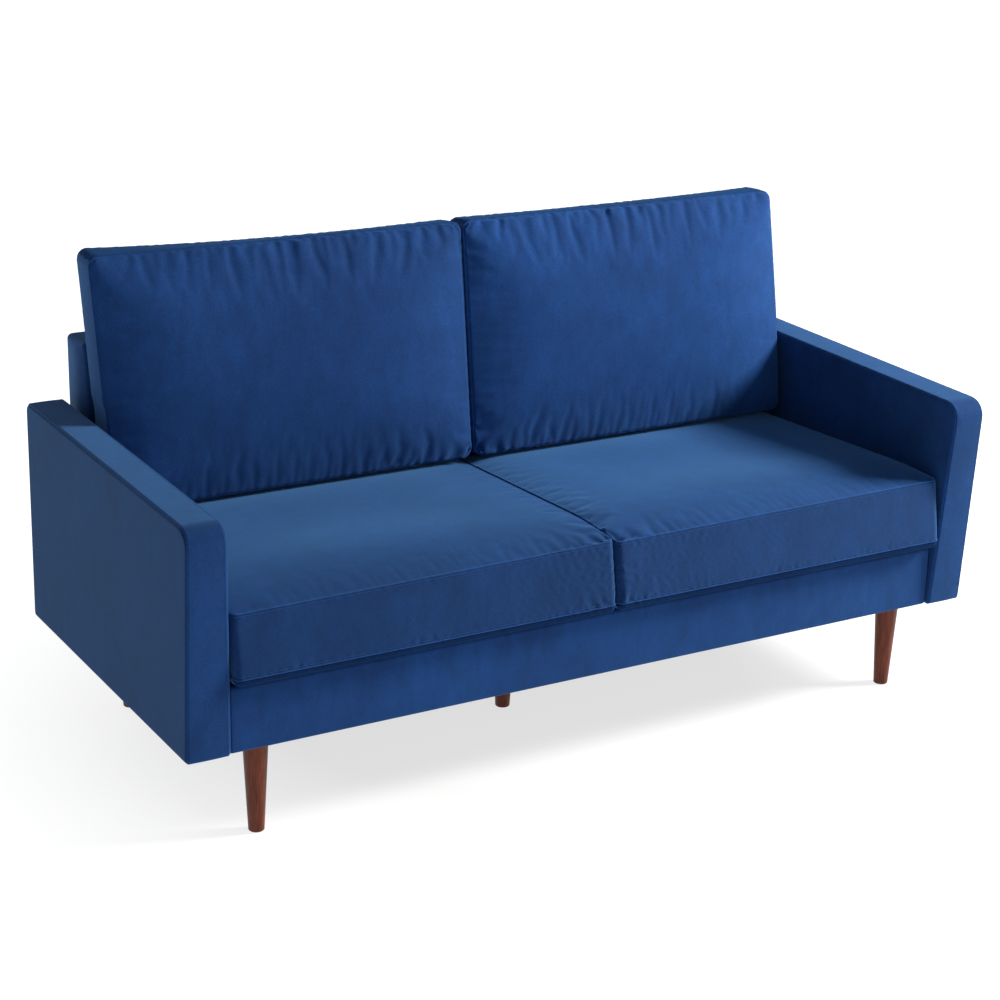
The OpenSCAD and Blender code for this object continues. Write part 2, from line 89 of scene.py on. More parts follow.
def spaced(length, step, end=True):
    """Positions from 0 to length, closer together near the start and, if it has a seam, the end."""
    head = np.concatenate([[0.0], NEAR_SEAM[NEAR_SEAM < length / 2 - step / 2]])
    tail = length - (head[::-1] if end else np.array([0.0]))
    count = max(1, round((tail[0] - head[-1]) / step))
    middle = np.linspace(head[-1], tail[0], count + 1)[1:-1]
    return np.concatenate([head, middle, tail])


def round_corners(u, v, width, height, radii):
    """Bend a square grid of points so that the rectangle's corners become quarter circles."""
    u, v = u.copy(), v.copy()
    corners = [(0, 0), (1, 0), (1, 1), (0, 1)]
    for (right, top), radius in zip(corners, radii):
        p = radius - (width - u if right else u)
        q = radius - (height - v if top else v)
        inside = (p > 1e-9) & (q > 1e-9)
        big, small = np.maximum(p, q), np.minimum(p, q)
        angle = math.pi / 4 * np.divide(small, big, out=np.zeros_like(big), where=big > 1e-9)
        long_way, short_way = big * np.cos(angle), big * np.sin(angle)
        du = np.where(p >= q, long_way, short_way)
        dv = np.where(p >= q, short_way, long_way)
        new_u = width - radius + du if right else radius - du
        new_v = height - radius + dv if top else radius - dv
        u = np.where(inside, new_u, u)
        v = np.where(inside, new_v, v)
    return u, v


COVER_STEP = 8.0
DRAW_IN_REACH = 60.0


class Cover:
    """Sewn cover: two panels and a boxing strip, in a frame of its own.

    u runs 0 to width and v 0 to height over the panels, w 0 to depth between them. Each edge has a
    radius and the angle at which the panel ends on it, 0 on the flat and 90 on the side.
    """

    def __init__(self, width, height, depth, radii, top, bottom, bulge, crown=(0, 0), low_seam=None):
        self.size = (width, height, depth)
        (r1, a1), (r2, a2) = [(r, math.radians(a)) for r, a in (top, bottom)]
        first = r1 * (1 - math.sin(a1))
        us = first + spaced(width - 2 * first, COVER_STEP)
        vs = first + spaced(height - 2 * first, COVER_STEP)
        n, m = len(us), len(vs)
        turn1 = np.linspace(a1, math.pi / 2, 12)
        turn2 = np.linspace(math.pi / 2, a2, 12)
        inset = np.concatenate([r1 * (1 - np.sin(turn1)), r2 * (1 - np.sin(turn2))])
        level = np.concatenate([depth - r1 * (1 - np.cos(turn1)), r2 * (1 - np.cos(turn2))])
        run = np.concatenate([[0], np.cumsum(np.hypot(np.diff(inset), np.diff(level)))])
        total = run[-1]
        if low_seam is None:
            rows = spaced(total, COVER_STEP)
            low_row = len(rows) - 1
        else:
            seam_at = float(np.interp(-low_seam, -level, run))
            upper = spaced(seam_at, COVER_STEP)
            lower = seam_at + spaced(total - seam_at, COVER_STEP / 2, end=False)[1:]
            rows = np.concatenate([upper, lower])
            low_row = len(upper) - 1
        swell = np.clip(rows / total, 0, 1)
        row_inset = np.interp(rows, run, inset) - bulge * np.sin(math.pi * swell) ** 0.8
        row_level = np.interp(rows, run, level)

        def heights(u, v, radius, flat, sign, size):
            near = np.minimum(np.minimum(u, width - u), np.minimum(v, height - v))
            rest = np.clip(radius - near, 0, radius)
            drop = radius - np.sqrt(radius ** 2 - rest ** 2)
            x, y = 2 * u / width - 1, 2 * v / height - 1
            rise = size * (1 - np.abs(x) ** 4.6) * (1 - np.abs(y) ** 3)
            return flat + sign * (rise - drop)

        crown_top, crown_bottom = crown
        uu, vv = np.meshgrid(us, vs, indexing="ij")
        top_w = heights(uu, vv, r1, depth, 1, crown_top)
        points = [np.stack([*round_corners(uu, vv, width, height, radii), top_w], -1).reshape(-1, 3)]
        top_index = np.arange(n * m).reshape(n, m)
        around = ([(i, 0) for i in range(n - 1)] + [(n - 1, j) for j in range(m - 1)]
                  + [(i, m - 1) for i in range(n - 1, 0, -1)] + [(0, j) for j in range(m - 1, 0, -1)])
        ai = np.array([a[0] for a in around])
        aj = np.array([a[1] for a in around])
        rings = [top_index[ai, aj]]
        total_points = n * m

        def drawn_in(lines, inset):
            """Grid lines moved so that the outermost ones are at inset from the edges."""
            fade = np.clip(1 - (lines - first) / DRAW_IN_REACH, 0, 1)
            return lines + (inset - first) * (fade - fade[::-1])

        for e, w in zip(row_inset[1:], row_level[1:]):
            ru, rv = drawn_in(us, e)[ai], drawn_in(vs, e)[aj]
            ru, rv = round_corners(ru, rv, width, height, radii)
            points.append(np.stack([ru, rv, np.full_like(ru, w)], -1))
            rings.append(total_points + np.arange(len(around)))
            total_points += len(around)
        last = row_inset[-1]
        uu, vv = np.meshgrid(drawn_in(us, last), drawn_in(vs, last), indexing="ij")
        low_w = heights(uu, vv, r2, 0, -1, crown_bottom)
        low = np.stack([*round_corners(uu, vv, width, height, radii), low_w], -1)
        bottom_index = np.zeros((n, m), int)
        bottom_index[1:-1, 1:-1] = total_points + np.arange((n - 2) * (m - 2)).reshape(n - 2, m - 2)
        bottom_index[ai, aj] = rings[-1]
        points.append(low[1:-1, 1:-1].reshape(-1, 3))
        self.points = np.concatenate(points)
        self.region = np.ones(len(self.points))
        self.region[:n * m] = 0
        self.region[total_points:] = 2
        for ring in rings[low_row + 1:]:
            self.region[ring] = 2
        self.rings = rings
        self.rows = rows
        self.seams = [rings[0], rings[low_row]]
        self.low_row = low_row
        quads = []
        t = top_index
        quads.append(np.stack([t[:-1, :-1], t[1:, :-1], t[1:, 1:], t[:-1, 1:]], -1).reshape(-1, 4))
        b = bottom_index
        quads.append(np.stack([b[:-1, :-1], b[:-1, 1:], b[1:, 1:], b[1:, :-1]], -1).reshape(-1, 4))
        for a, c in zip(rings[:-1], rings[1:]):
            quads.append(np.stack([a, c, np.roll(c, -1), np.roll(a, -1)], -1))
        self.quads = np.concatenate(quads)

    def ring_at(self, distance, seam=0):
        """Index of the boxing ring about that far from a seam, measured down the boxing."""
        base = self.rows[0 if seam == 0 else self.low_row]
        return self.rings[int(np.argmin(np.abs(self.rows - base - distance)))]


def place(local, axes, origin, side):
    """Local points in millimetres to the sofa's frame in metres."""
    world = (local + np.array(origin)) @ axes
    world[:, 0] *= side
    return world * MM


def new_mesh(name, points, faces, flip=False):
    """Smooth-shaded mesh object from an array of points in metres and a list of faces."""
    mesh = bpy.data.meshes.new(name)
    faces = [list(map(int, f))[::-1] if flip else list(map(int, f)) for f in faces]
    mesh.from_pydata([tuple(p) for p in points], [], faces)
    mesh.validate()
    mesh.update()
    mesh.polygons.foreach_set("use_smooth", [True] * len(mesh.polygons))
    ob = bpy.data.objects.new(name, mesh)
    bpy.context.scene.collection.objects.link(ob)
    return ob


def points_of(ob):
    co = np.zeros(len(ob.data.vertices) * 3, np.float32)
    ob.data.vertices.foreach_get("co", co)
    return co.reshape(-1, 3).astype(float)


def normals_of(ob):
    no = np.zeros(len(ob.data.vertices) * 3, np.float32)
    ob.data.vertices.foreach_get("normal", no)
    return no.reshape(-1, 3).astype(float)


def move_points(ob, co):
    ob.data.vertices.foreach_set("co", co.astype(np.float32).ravel())
    ob.data.update()


def numbers_of(ob, name):
    data = ob.data.attributes[name].data
    values = np.zeros(len(data), np.float32)
    data.foreach_get("value", values)
    return values


def store(ob, name, values):
    attribute = ob.data.attributes.new(name, "FLOAT", "POINT")
    attribute.data.foreach_set("value", np.asarray(values, np.float32))


def subdivide(ob):
    """Apply one level of smooth subdivision to the mesh."""
    modifier = ob.modifiers.new("smooth", "SUBSURF")
    modifier.levels = 1
    graph = bpy.context.evaluated_depsgraph_get()
    mesh = bpy.data.meshes.new_from_object(ob.evaluated_get(graph))
    ob.modifiers.clear()
    old = ob.data
    ob.data = mesh
    mesh.name = old.name
    bpy.data.meshes.remove(old)
    mesh.polygons.foreach_set("use_smooth", [True] * len(mesh.polygons))


# ---- Cloth simulation ----

SIM_FRAMES = 20
CLOTH_SPARE = 0.06      # share by which the cloth is too long where it gathers
CLOTH_PRESSURE = 4.0
CLOTH_CAP = 22 * MM     # the furthest that the simulation may move a point


def give_cloth(ob, hold, slack):
    """Cloth on the foam: hold is how firmly each point stays, slack where the cloth is too long."""
    for group_name, weights in (("hold", hold), ("taut", 1 - slack)):
        group = ob.vertex_groups.new(name=group_name)
        for index, weight in enumerate(weights):
            group.add([index], float(weight), "REPLACE")
    modifier = ob.modifiers.new("cloth", "CLOTH")
    cloth = modifier.settings
    cloth.quality = 5
    cloth.mass = 0.25
    cloth.tension_stiffness = 14
    cloth.compression_stiffness = 14
    cloth.shear_stiffness = 6
    cloth.bending_stiffness = 0.35
    cloth.tension_damping = 8
    cloth.compression_damping = 8
    cloth.bending_damping = 1
    cloth.use_pressure = True
    cloth.uniform_pressure_force = CLOTH_PRESSURE
    cloth.vertex_group_mass = "hold"
    cloth.pin_stiffness = 1.0
    cloth.vertex_group_shrink = "taut"
    cloth.shrink_min = -CLOTH_SPARE
    cloth.shrink_max = 0.0
    cloth.effector_weights.gravity = 0
    modifier.collision_settings.use_collision = False
    modifier.point_cache.frame_start = 1
    modifier.point_cache.frame_end = SIM_FRAMES


def run_cloth(obs):
    """Run the simulation on all the pieces together and keep its result in their meshes."""
    scene = bpy.context.scene
    scene.frame_start, scene.frame_end = 1, SIM_FRAMES
    start = [points_of(ob) for ob in obs]
    for number in range(1, SIM_FRAMES + 1):
        scene.frame_set(number)
    graph = bpy.context.evaluated_depsgraph_get()
    for ob, before in zip(obs, start):
        mesh = ob.evaluated_get(graph).to_mesh()
        co = np.zeros(len(mesh.vertices) * 3, np.float32)
        mesh.vertices.foreach_get("co", co)
        ob.evaluated_get(graph).to_mesh_clear()
        delta = co.reshape(-1, 3).astype(float) - before
        length = np.linalg.norm(delta, axis=1, keepdims=True)
        delta *= np.minimum(1.0, CLOTH_CAP / np.maximum(length, 1e-9))
        ob.modifiers.clear()
        ob.vertex_groups.clear()
        move_points(ob, before + delta)
    scene.frame_set(1)


# ---- Seams, gathers and stitches ----

Gather = namedtuple("Gather", "spacing length width depth")  # typical sizes in metres
FOLD_START = 4 * MM


class Folds:
    """Gathers along a seam: short valleys that start at the seam and fade out in the cloth."""

    def __init__(self, seed):
        self.random = np.random.default_rng(seed)
        self.list = []

    def along(self, ring, inward, kind, weight=None, tilt=0.25):
        """Folds of a kind at random along a ring of points, with inward(point, tangent) as their way."""
        step = np.linalg.norm(np.roll(ring, -1, 0) - ring, axis=1)
        run = np.concatenate([[0], np.cumsum(step)])
        closed = np.vstack([ring, ring[:1]])
        s = self.random.uniform(0, kind.spacing)
        while s < run[-1]:
            origin = np.array([np.interp(s, run, closed[:, k]) for k in range(3)])
            ahead = np.array([np.interp(s + FOLD_START, run, closed[:, k]) for k in range(3)]) - origin
            tangent = ahead / max(np.linalg.norm(ahead), 1e-9)
            into = inward(origin, tangent)
            share = 1.0 if weight is None else weight(origin)
            grow = self.random.uniform(0.45, 1.25)
            if share > 0.02:
                way = into + tangent * self.random.normal(0, tilt)
                self.list.append((origin, way / np.linalg.norm(way),
                                  kind.length * grow * (0.4 + 0.6 * share),
                                  kind.width * self.random.uniform(0.75, 1.3),
                                  kind.depth * share * self.random.uniform(0.4, 1.2)))
            s += kind.spacing * self.random.uniform(0.5, 1.5)

    def apply(self, ob, mask):
        """Press the folds into the mesh where mask is above 0."""
        co, no = points_of(ob), normals_of(ob)
        offset = np.zeros(len(co))
        for origin, way, length, width, depth in self.list:
            rel = co - origin
            close = np.einsum("ij,ij->i", rel, rel) < (length * 1.1 + width * 3) ** 2
            index = np.nonzero(close)[0]
            r = rel[index]
            t = r @ way
            q2 = np.maximum(np.einsum("ij,ij->i", r, r) - t * t, 0)
            x = np.clip(t / length, 0, 1)
            window = np.clip(t / FOLD_START, 0, 1) * (1 - x) ** 1.5 * (t > 0)
            spread = width * (1 + 1.2 * x)
            shape = np.exp(-q2 / spread ** 2) - 0.35 * np.exp(-q2 / (2.2 * spread) ** 2)
            offset[index] -= depth * window * shape
        move_points(ob, co + no * (offset * mask)[:, None])


STITCH_PITCH = 4.6 * MM
STITCH_LENGTH = 3.3 * MM
THREAD_RADIUS = 0.42 * MM
STITCH_SHAPE = [(0.0, 0.35), (0.22, 1.0), (0.78, 1.0), (1.0, 0.35)]  # place along it, share of radius
TUBE_SIDES = 6


def tube_ring(centre, across, up, radius):
    """Points of a ring round centre, in the plane of across and up."""
    turns = [2 * math.pi * k / TUBE_SIDES for k in range(TUBE_SIDES)]
    return [centre + (across * math.cos(turn) + up * math.sin(turn)) * radius for turn in turns]


def tube_wall(a, b):
    """Faces between two rings whose points start at numbers a and b."""
    sides = [(k, (k + 1) % TUBE_SIDES) for k in range(TUBE_SIDES)]
    return [(a + k, a + n, b + n, b + k) for k, n in sides]


def square_to(way, normal):
    """Directions across a line and away from its surface, both square to the line."""
    across = way.cross(normal).normalized()
    return across, across.cross(way).normalized()


def surface_tree(surface):
    return BVHTree.FromObject(surface, bpy.context.evaluated_depsgraph_get())


def stitches(name, paths, surface):
    """Rows of topstitching: one small thread bead per stitch, laid on the surface along paths."""
    tree = surface_tree(surface)
    points, faces = [], []
    for path in paths:
        step = np.linalg.norm(np.diff(path, axis=0), axis=1)
        run = np.concatenate([[0], np.cumsum(step)])
        for s in np.arange(0, run[-1] - STITCH_LENGTH, STITCH_PITCH):
            ends = [Vector([np.interp(x, run, path[:, k]) for k in range(3)])
                    for x in (s, s + STITCH_LENGTH)]
            (a, normal_a, _, _), (b, normal_b, _, _) = [tree.find_nearest(end) for end in ends]
            across, up = square_to(b - a, (normal_a + normal_b).normalized())
            base = len(points)
            for share, radius in STITCH_SHAPE:
                lift = 0.55 * THREAD_RADIUS * (1 if 0 < share < 1 else -0.6)
                centre = a + (b - a) * share + up * lift
                points += tube_ring(centre, across, up, THREAD_RADIUS * radius)
            last = len(points) - TUBE_SIDES
            for ring in range(base, last, TUBE_SIDES):
                faces += tube_wall(ring, ring + TUBE_SIDES)
            faces.append(tuple(base + k for k in range(TUBE_SIDES))[::-1])
            faces.append(tuple(last + k for k in range(TUBE_SIDES)))
    return new_mesh(name, points, faces)


def seam_edges(name, paths, surface, radius, body):
    """The folded edge of the velvet along seams: thin rolls laid on the surface along closed paths, in a lighter
    copy of the velvet that paints a highlight along the seams.
    """
    tree = surface_tree(surface)
    points, faces = [], []
    for path in paths:
        base, count = len(points), len(path)
        hits = [tree.find_nearest(Vector(p)) for p in path]
        for k in range(count):
            spot, normal = hits[k][0], hits[k][1]
            across, up = square_to((hits[(k + 1) % count][0] - hits[k - 1][0]).normalized(), normal)
            points += tube_ring(spot + up * radius * 0.35, across, up, radius)
        for k in range(count):
            faces += tube_wall(base + k * TUBE_SIDES, base + (k + 1) % count * TUBE_SIDES)
    ob = new_mesh(name, points, faces)
    # The rolls get the lighter velvet: a painted highlight along the seam.
    finish_piece(ob, "velvet_edge_highlight")
    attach(ob, body)


# ---- Materials ----

class Look:
    """A node material on a Principled shader, with helpers that add and link its nodes."""

    def __init__(self, name):
        self.mat = bpy.data.materials.new(name)
        self.mat.use_nodes = True
        self.tree = self.mat.node_tree
        self.shader = self.tree.nodes["Principled BSDF"]
        self.coords = self.node("ShaderNodeTexCoord").outputs["Object"]

    def node(self, kind, **values):
        """New node; the values are its properties or the defaults of its inputs."""
        made = self.tree.nodes.new(kind)
        for key, value in values.items():
            if hasattr(made, key) and key not in made.inputs:
                setattr(made, key, value)
            else:
                made.inputs[key].default_value = value
        return made

    def link(self, a, b):
        self.tree.links.new(a, b)

    def drive(self, name, socket):
        """Feed one of the shader's inputs from a socket."""
        self.link(socket, self.shader.inputs[name])

    def uniform(self, **values):
        """Set the shader's inputs, named with underscores, to plain values."""
        for key, value in values.items():
            self.shader.inputs[key.replace("_", " ")].default_value = value

    def noise(self, scale, detail=3.0, roughness=0.5, distortion=0.0, stretch=None):
        """Noise over the object coordinates, scaled along X, Y and Z by stretch."""
        made = self.node("ShaderNodeTexNoise", Scale=scale, Detail=detail, Roughness=roughness,
                         Distortion=distortion)
        vector = self.coords
        if stretch is not None:
            mapping = self.node("ShaderNodeMapping", Scale=stretch)
            self.link(vector, mapping.inputs["Vector"])
            vector = mapping.outputs["Vector"]
        self.link(vector, made.inputs["Vector"])
        return made.outputs["Fac"]

    def ramp(self, fac, *stops):
        """Colour ramp with (position, colour) stops; a plain number is a grey."""
        made = self.node("ShaderNodeValToRGB")
        while len(made.color_ramp.elements) < len(stops):
            made.color_ramp.elements.new(0.5)
        for element, (position, colour) in zip(made.color_ramp.elements, stops):
            element.position = position
            element.color = (*colour, 1.0) if isinstance(colour, tuple) else (*[colour] * 3, 1.0)
        self.link(fac, made.inputs["Fac"])
        return made.outputs["Color"]

    def times(self, a, b, amount=1.0):
        """Colour a multiplied by colour b, by that amount."""
        made = self.node("ShaderNodeMix", data_type="RGBA", blend_type="MULTIPLY")
        made.inputs[0].default_value = amount
        self.link(a, made.inputs[6])
        self.link(b, made.inputs[7])
        return made.outputs[2]

    def bump(self, *layers):
        """Chain bumps, each (height, strength, distance in millimetres), into the shader."""
        normal = None
        for height, strength, distance in layers:
            made = self.node("ShaderNodeBump", Strength=strength, Distance=distance * MM)
            self.link(height, made.inputs["Height"])
            if normal is not None:
                self.link(normal, made.inputs["Normal"])
            normal = made.outputs["Normal"]
        self.drive("Normal", normal)


VELVET_TONES = [(0.0042, 0.0285, 0.118), (0.0058, 0.0370, 0.146)]


def velvet(name, shade=1.0, streaks=0.13, sheen=0.42, gloss=0.12):
    """Short-pile velvet: dark body, blue sheen, brushed patches and a fine pile."""
    look = Look(name)
    # shade scales both tones; several copies in MATERIALS use it to paint light and shade.
    low, high = [tuple(shade * c for c in tone) for tone in VELVET_TONES]
    body = look.ramp(look.noise(5.0, 4.0, 0.55, 0.6), (0.36, low), (0.66, high))
    brushed = look.noise(34.0, 5.0, 0.62, 0.4, stretch=(1.0, 1.0, 0.45))
    body = look.times(body, look.ramp(brushed, (0.32, 1 - streaks), (0.70, 1 + streaks)))
    fuzz = look.noise(230.0, 3.0, 0.7)
    body = look.times(body, look.ramp(fuzz, (0.32, 0.86), (0.68, 1.14)))
    pile = look.noise(700.0, 3.0, 0.7)
    look.drive("Base Color", look.times(body, look.ramp(pile, (0.30, 0.80), (0.70, 1.20))))
    look.uniform(Roughness=0.85, Specular_IOR_Level=gloss, Sheen_Weight=sheen,
                 Sheen_Roughness=0.45, Sheen_Tint=(0.20, 0.52, 1.0, 1.0))
    look.bump((brushed, 0.25, 0.8), (pile, 0.5, 0.35))
    return look.mat


def thread():
    """Twisted polyester topstitching thread."""
    look = Look("thread")
    twist = look.noise(2400.0, 2.0)
    look.drive("Base Color", look.ramp(twist, (0.3, (0.010, 0.050, 0.17)), (0.7, (0.022, 0.095, 0.29))))
    look.uniform(Roughness=0.6, Specular_IOR_Level=0.15)
    look.bump((twist, 0.6, 0.15))
    return look.mat


def walnut():
    """Stained hardwood with grain along the leg under a satin lacquer."""
    look = Look("leg_walnut")
    grain = look.noise(28.0, 4.0, 0.6, 1.2, stretch=(1, 1, 0.12))
    fine = look.noise(420.0, 4.0, 0.65, stretch=(1, 1, 0.03))
    wood = look.ramp(grain, (0.25, (0.068, 0.0120, 0.0035)), (0.50, (0.130, 0.0230, 0.0060)),
                     (0.78, (0.200, 0.0400, 0.0110)))
    look.drive("Base Color", look.times(wood, look.ramp(fine, (0.36, 0.50), (0.60, 1.08))))
    look.drive("Roughness", look.ramp(grain, (0.2, 0.36), (0.8, 0.50)))
    look.uniform(Specular_IOR_Level=0.2, Coat_Weight=0.08, Coat_Roughness=0.3)
    look.bump((fine, 0.25, 0.2), (grain, 0.15, 0.5))
    return look.mat


def pine():
    """Planed softwood with growth rings."""
    look = Look("frame_pine")
    rings = look.noise(26.0, 5.0, 0.6, 1.6, stretch=(0.35, 1.0, 2.2))
    fine = look.noise(380.0, 3.0, 0.6, stretch=(0.1, 1, 1))
    wood = look.ramp(rings, (0.30, (0.62, 0.42, 0.20)), (0.52, (0.74, 0.54, 0.29)),
                     (0.70, (0.50, 0.31, 0.13)))
    look.drive("Base Color", look.times(wood, look.ramp(fine, (0.3, 0.7), (0.7, 1.0)), 0.5))
    look.uniform(Roughness=0.62)
    look.bump((fine, 0.2, 0.2))
    return look.mat


def plain(name, low, high, scale, roughness, metallic=0.0, depth=0.2):
    """Fine-grained material: two tones of one colour with a matching bump."""
    look = Look(name)
    grain = look.noise(scale, 4.0, 0.6)
    look.drive("Base Color", look.ramp(grain, (0.3, low), (0.7, high)))
    look.drive("Roughness", look.ramp(grain, (0.25, roughness - 0.06), (0.75, roughness + 0.06)))
    look.uniform(Metallic=metallic)
    look.bump((grain, 0.4, depth))
    return look.mat


def woven(name, low, high, pitch):
    """Plain-woven or spunbonded cloth: two crossed sets of threads, pitch in millimetres."""
    look = Look(name)
    waves = []
    for direction in ("X", "Y"):
        wave = look.node("ShaderNodeTexWave", wave_type="BANDS", bands_direction=direction,
                         Scale=1.0 / (pitch * MM) * 0.16, Distortion=0.6, Detail=1.0)
        look.link(look.coords, wave.inputs["Vector"])
        waves.append(wave.outputs["Fac"])
    weave = look.node("ShaderNodeMath", operation="MULTIPLY")
    for wave, socket in zip(waves, weave.inputs):
        look.link(wave, socket)
    weave = weave.outputs[0]
    fuzz = look.ramp(look.noise(300.0, 3.0), (0.3, 0.6), (0.7, 1.0))
    look.drive("Base Color", look.times(look.ramp(weave, (0.1, low), (0.8, high)), fuzz, 0.5))
    look.uniform(Roughness=0.85, Sheen_Weight=0.2)
    look.bump((weave, 0.5, 0.3))
    return look.mat


MATERIALS = {
    # The right seat and back copies are lighter than the left ones: painted light from the right.
    "velvet_seat_left": velvet("velvet_seat_left", 1.0),
    "velvet_seat_right": velvet("velvet_seat_right", 1.12),
    "velvet_back_left": velvet("velvet_back_left", 1.04),
    "velvet_back_right": velvet("velvet_back_right", 1.22),
    # A lighter copy with more sheen for the seam rolls: painted highlight along the seams.
    "velvet_edge_highlight": velvet("velvet_edge_highlight", 1.6, sheen=0.55),
    # A much darker copy for the strip under the seat's low seam: painted shade where the strip turns under.
    "velvet_strip_shade": velvet("velvet_strip_shade", 0.50, sheen=0.08, gloss=0.04),
    # A slightly darker copy with less sheen and gloss for the back cushions' top strips.
    "velvet_back_top_strip": velvet("velvet_back_top_strip", 0.95, sheen=0.10, gloss=0.03),
    # A darker copy for the seat cushions' front boxing: painted shade on faces that the light only grazes.
    "velvet_seat_front_shade": velvet("velvet_seat_front_shade", 0.80, sheen=0.52),
    "velvet_arm": velvet("velvet_arm", 0.98),
    # A darker copy for the arms' outer sides: painted shade.
    "velvet_arm_side_shade": velvet("velvet_arm_side_shade", 0.66, sheen=0.30),
    "velvet_frame": velvet("velvet_frame", 1.12, streaks=0.16),
    "thread": thread(),
    "leg_walnut": walnut(),
    "frame_pine": pine(),
    "hardboard": plain("hardboard", (0.20, 0.11, 0.055), (0.32, 0.19, 0.10), 240.0, 0.7),
    "spring_steel": plain("spring_steel", (0.24, 0.25, 0.27), (0.38, 0.39, 0.41), 160.0, 0.38, 1.0),
    "zinc_steel": plain("zinc_steel", (0.55, 0.56, 0.58), (0.72, 0.73, 0.74), 120.0, 0.34, 1.0),
    "zip_metal": plain("zip_metal", (0.42, 0.42, 0.44), (0.60, 0.60, 0.62), 300.0, 0.30, 1.0),
    "zip_tape": woven("zip_tape", (0.006, 0.016, 0.055), (0.016, 0.040, 0.12), 1.2),
    "lining_cloth": woven("lining_cloth", (0.006, 0.006, 0.008), (0.030, 0.030, 0.034), 1.6),
    "deck_cloth": woven("deck_cloth", (0.008, 0.008, 0.010), (0.036, 0.036, 0.040), 1.2),
    "felt": plain("felt", (0.30, 0.30, 0.29), (0.46, 0.46, 0.44), 90.0, 0.9, depth=0.8),
    "glide_nylon": plain("glide_nylon", (0.035, 0.035, 0.037), (0.07, 0.07, 0.072), 200.0, 0.45),
    "foam": plain("foam", (0.62, 0.58, 0.44), (0.82, 0.78, 0.62), 420.0, 0.9, depth=0.9),
}


def finish_piece(ob, name):
    ob.data.materials.clear()
    ob.data.materials.append(MATERIALS[name])


def dress_cad_nodes():
    """Give every CAD node that stays in sight the material of its slot in the record."""
    slots = {part["node"]: part["material_slot"] for part in frame["record"]["subparts"]}
    for name, ob in frame["nodes"].items():
        chosen = slots[name]
        mat = MATERIALS["velvet_arm" if chosen == "velvet" else chosen]
        ob.data.materials.clear()
        ob.data.materials.append(mat)


# ---- Covers ----

def sink_seams(ob, cover, depth, puff):
    """Sink the seam rows and lift the cloth beside them."""
    points = points_of(ob)
    move = np.zeros(len(points))
    for row in (0, cover.low_row):
        move[cover.rings[row]] -= depth * MM
        for beside in (row - 1, row + 1):
            if 0 <= beside < len(cover.rings):
                move[cover.rings[beside]] += puff * MM
    move_points(ob, points + normals_of(ob) * move[:, None])


def raise_seam(ob, ridge, groove, height):
    """A seam that stands up as a thin ridge with a groove beside it."""
    points = points_of(ob)
    move = np.zeros(len(points))
    move[ridge] += height * MM
    move[groove] -= height * MM
    move_points(ob, points + normals_of(ob) * move[:, None])


def toward(centre, normal):
    """Direction across a seam, in the plane square to normal, on the side where centre lies."""
    centre, normal = np.array(centre), np.array(normal)

    def across(origin, tangent):
        way = np.cross(normal, tangent)
        way /= max(np.linalg.norm(way), 1e-9)
        return way if way @ (centre - origin) > 0 else -way

    return across


FOAM_DEPTH = 9.0  # millimetres from a cover to the filling inside it


def foam_core(name, ob, node, body):
    """Filling inside a cushion's cover: the cover's shape drawn in along its normals."""
    faces = [tuple(p.vertices) for p in ob.data.polygons]
    core = new_mesh(name, points_of(ob) - normals_of(ob) * FOAM_DEPTH * MM, faces)
    finish_piece(core, "foam")
    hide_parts(node)
    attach(core, body)


def thread_rows(name, ob, paths, body):
    """Topstitching on a piece, as its own object."""
    row = stitches(name, paths, ob)
    finish_piece(row, "thread")
    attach(row, body)


def one_way(direction):
    """The same direction for folds all along a seam."""
    return lambda origin, tangent: direction


def closed_path(points):
    return np.vstack([points, points[:1]])


def region_mask(ob, number):
    return np.clip(1 - np.abs(numbers_of(ob, "region") - number) * 1.5, 0, 1)


def shares(cover):
    """Each point's place over the panels as shares of the width and height."""
    return cover.points[:, 0] / cover.size[0], cover.points[:, 1] / cover.size[1]


REST_HOLD = 0.8
SEAM_HOLD = 0.9


def firmness(cover, panel, boxing):
    """How firmly each point of a cover stays: the panel, the boxing, the side that rests, the seams."""
    hold = np.select([cover.region == 0, cover.region == 2], [panel, REST_HOLD], boxing)
    for ring in cover.seams:
        hold[ring] = SEAM_HOLD
    return hold


def seam_slack(cover, reach, share):
    """Spare cloth in the panels: full beside a seam, none at reach, times the share of the place."""
    width, height = cover.size[:2]
    u, v = cover.points[:, 0], cover.points[:, 1]
    near = np.minimum(np.minimum(u, width - u), np.minimum(v, height - v))
    return np.clip(1 - near / reach, 0, 1) * np.clip(share(*shares(cover)), 0, 1)


CUSHION_ROOM = (0.0003, 0.7966)  # from the middle of the sofa to the arm's inner face
ARM_TOP = 0.65
ROOM_ABOVE_ARM = 0.04
ROOM_FADE = 0.10


def keep_inside(ob, side, above=None):
    """Keep a cushion between its neighbour and the arm, less and less above a height."""
    co = points_of(ob)
    inner, outer = CUSHION_ROOM
    limit = np.full(len(co), outer)
    if above is not None:
        limit += ROOM_ABOVE_ARM * np.clip((co[:, 2] - above) / ROOM_FADE, 0, 1) ** 2
    co[:, 0] = np.clip(co[:, 0] * side, inner, limit) * side
    move_points(ob, co)


def dress_facing_faces(ob, name, regions, direction, least):
    """Give the faces of some regions that face a direction another copy of the velvet."""
    ob.data.materials.append(MATERIALS[name])
    region = numbers_of(ob, "region")
    for face in ob.data.polygons:
        values = [region[v] for v in face.vertices]
        if regions[0] < min(values) and max(values) < regions[1]:
            if Vector(face.normal).dot(Vector(direction)) > least:
                face.material_index = len(ob.data.materials) - 1


def cover_object(name, cover, points, side, material_name):
    if side < 0:
        cover.quads = cover.quads[:, ::-1]
    ob = new_mesh(name, points, cover.quads)
    store(ob, "region", cover.region)
    finish_piece(ob, material_name)
    return ob


ZIP_LENGTH = 600.0
ZIP_WIDTH = 14.0
SEAT_ZIP = {"depth": 1, "across": 2, "outward": 1}
BACK_ZIP = {"depth": 2, "across": 1, "outward": -1}


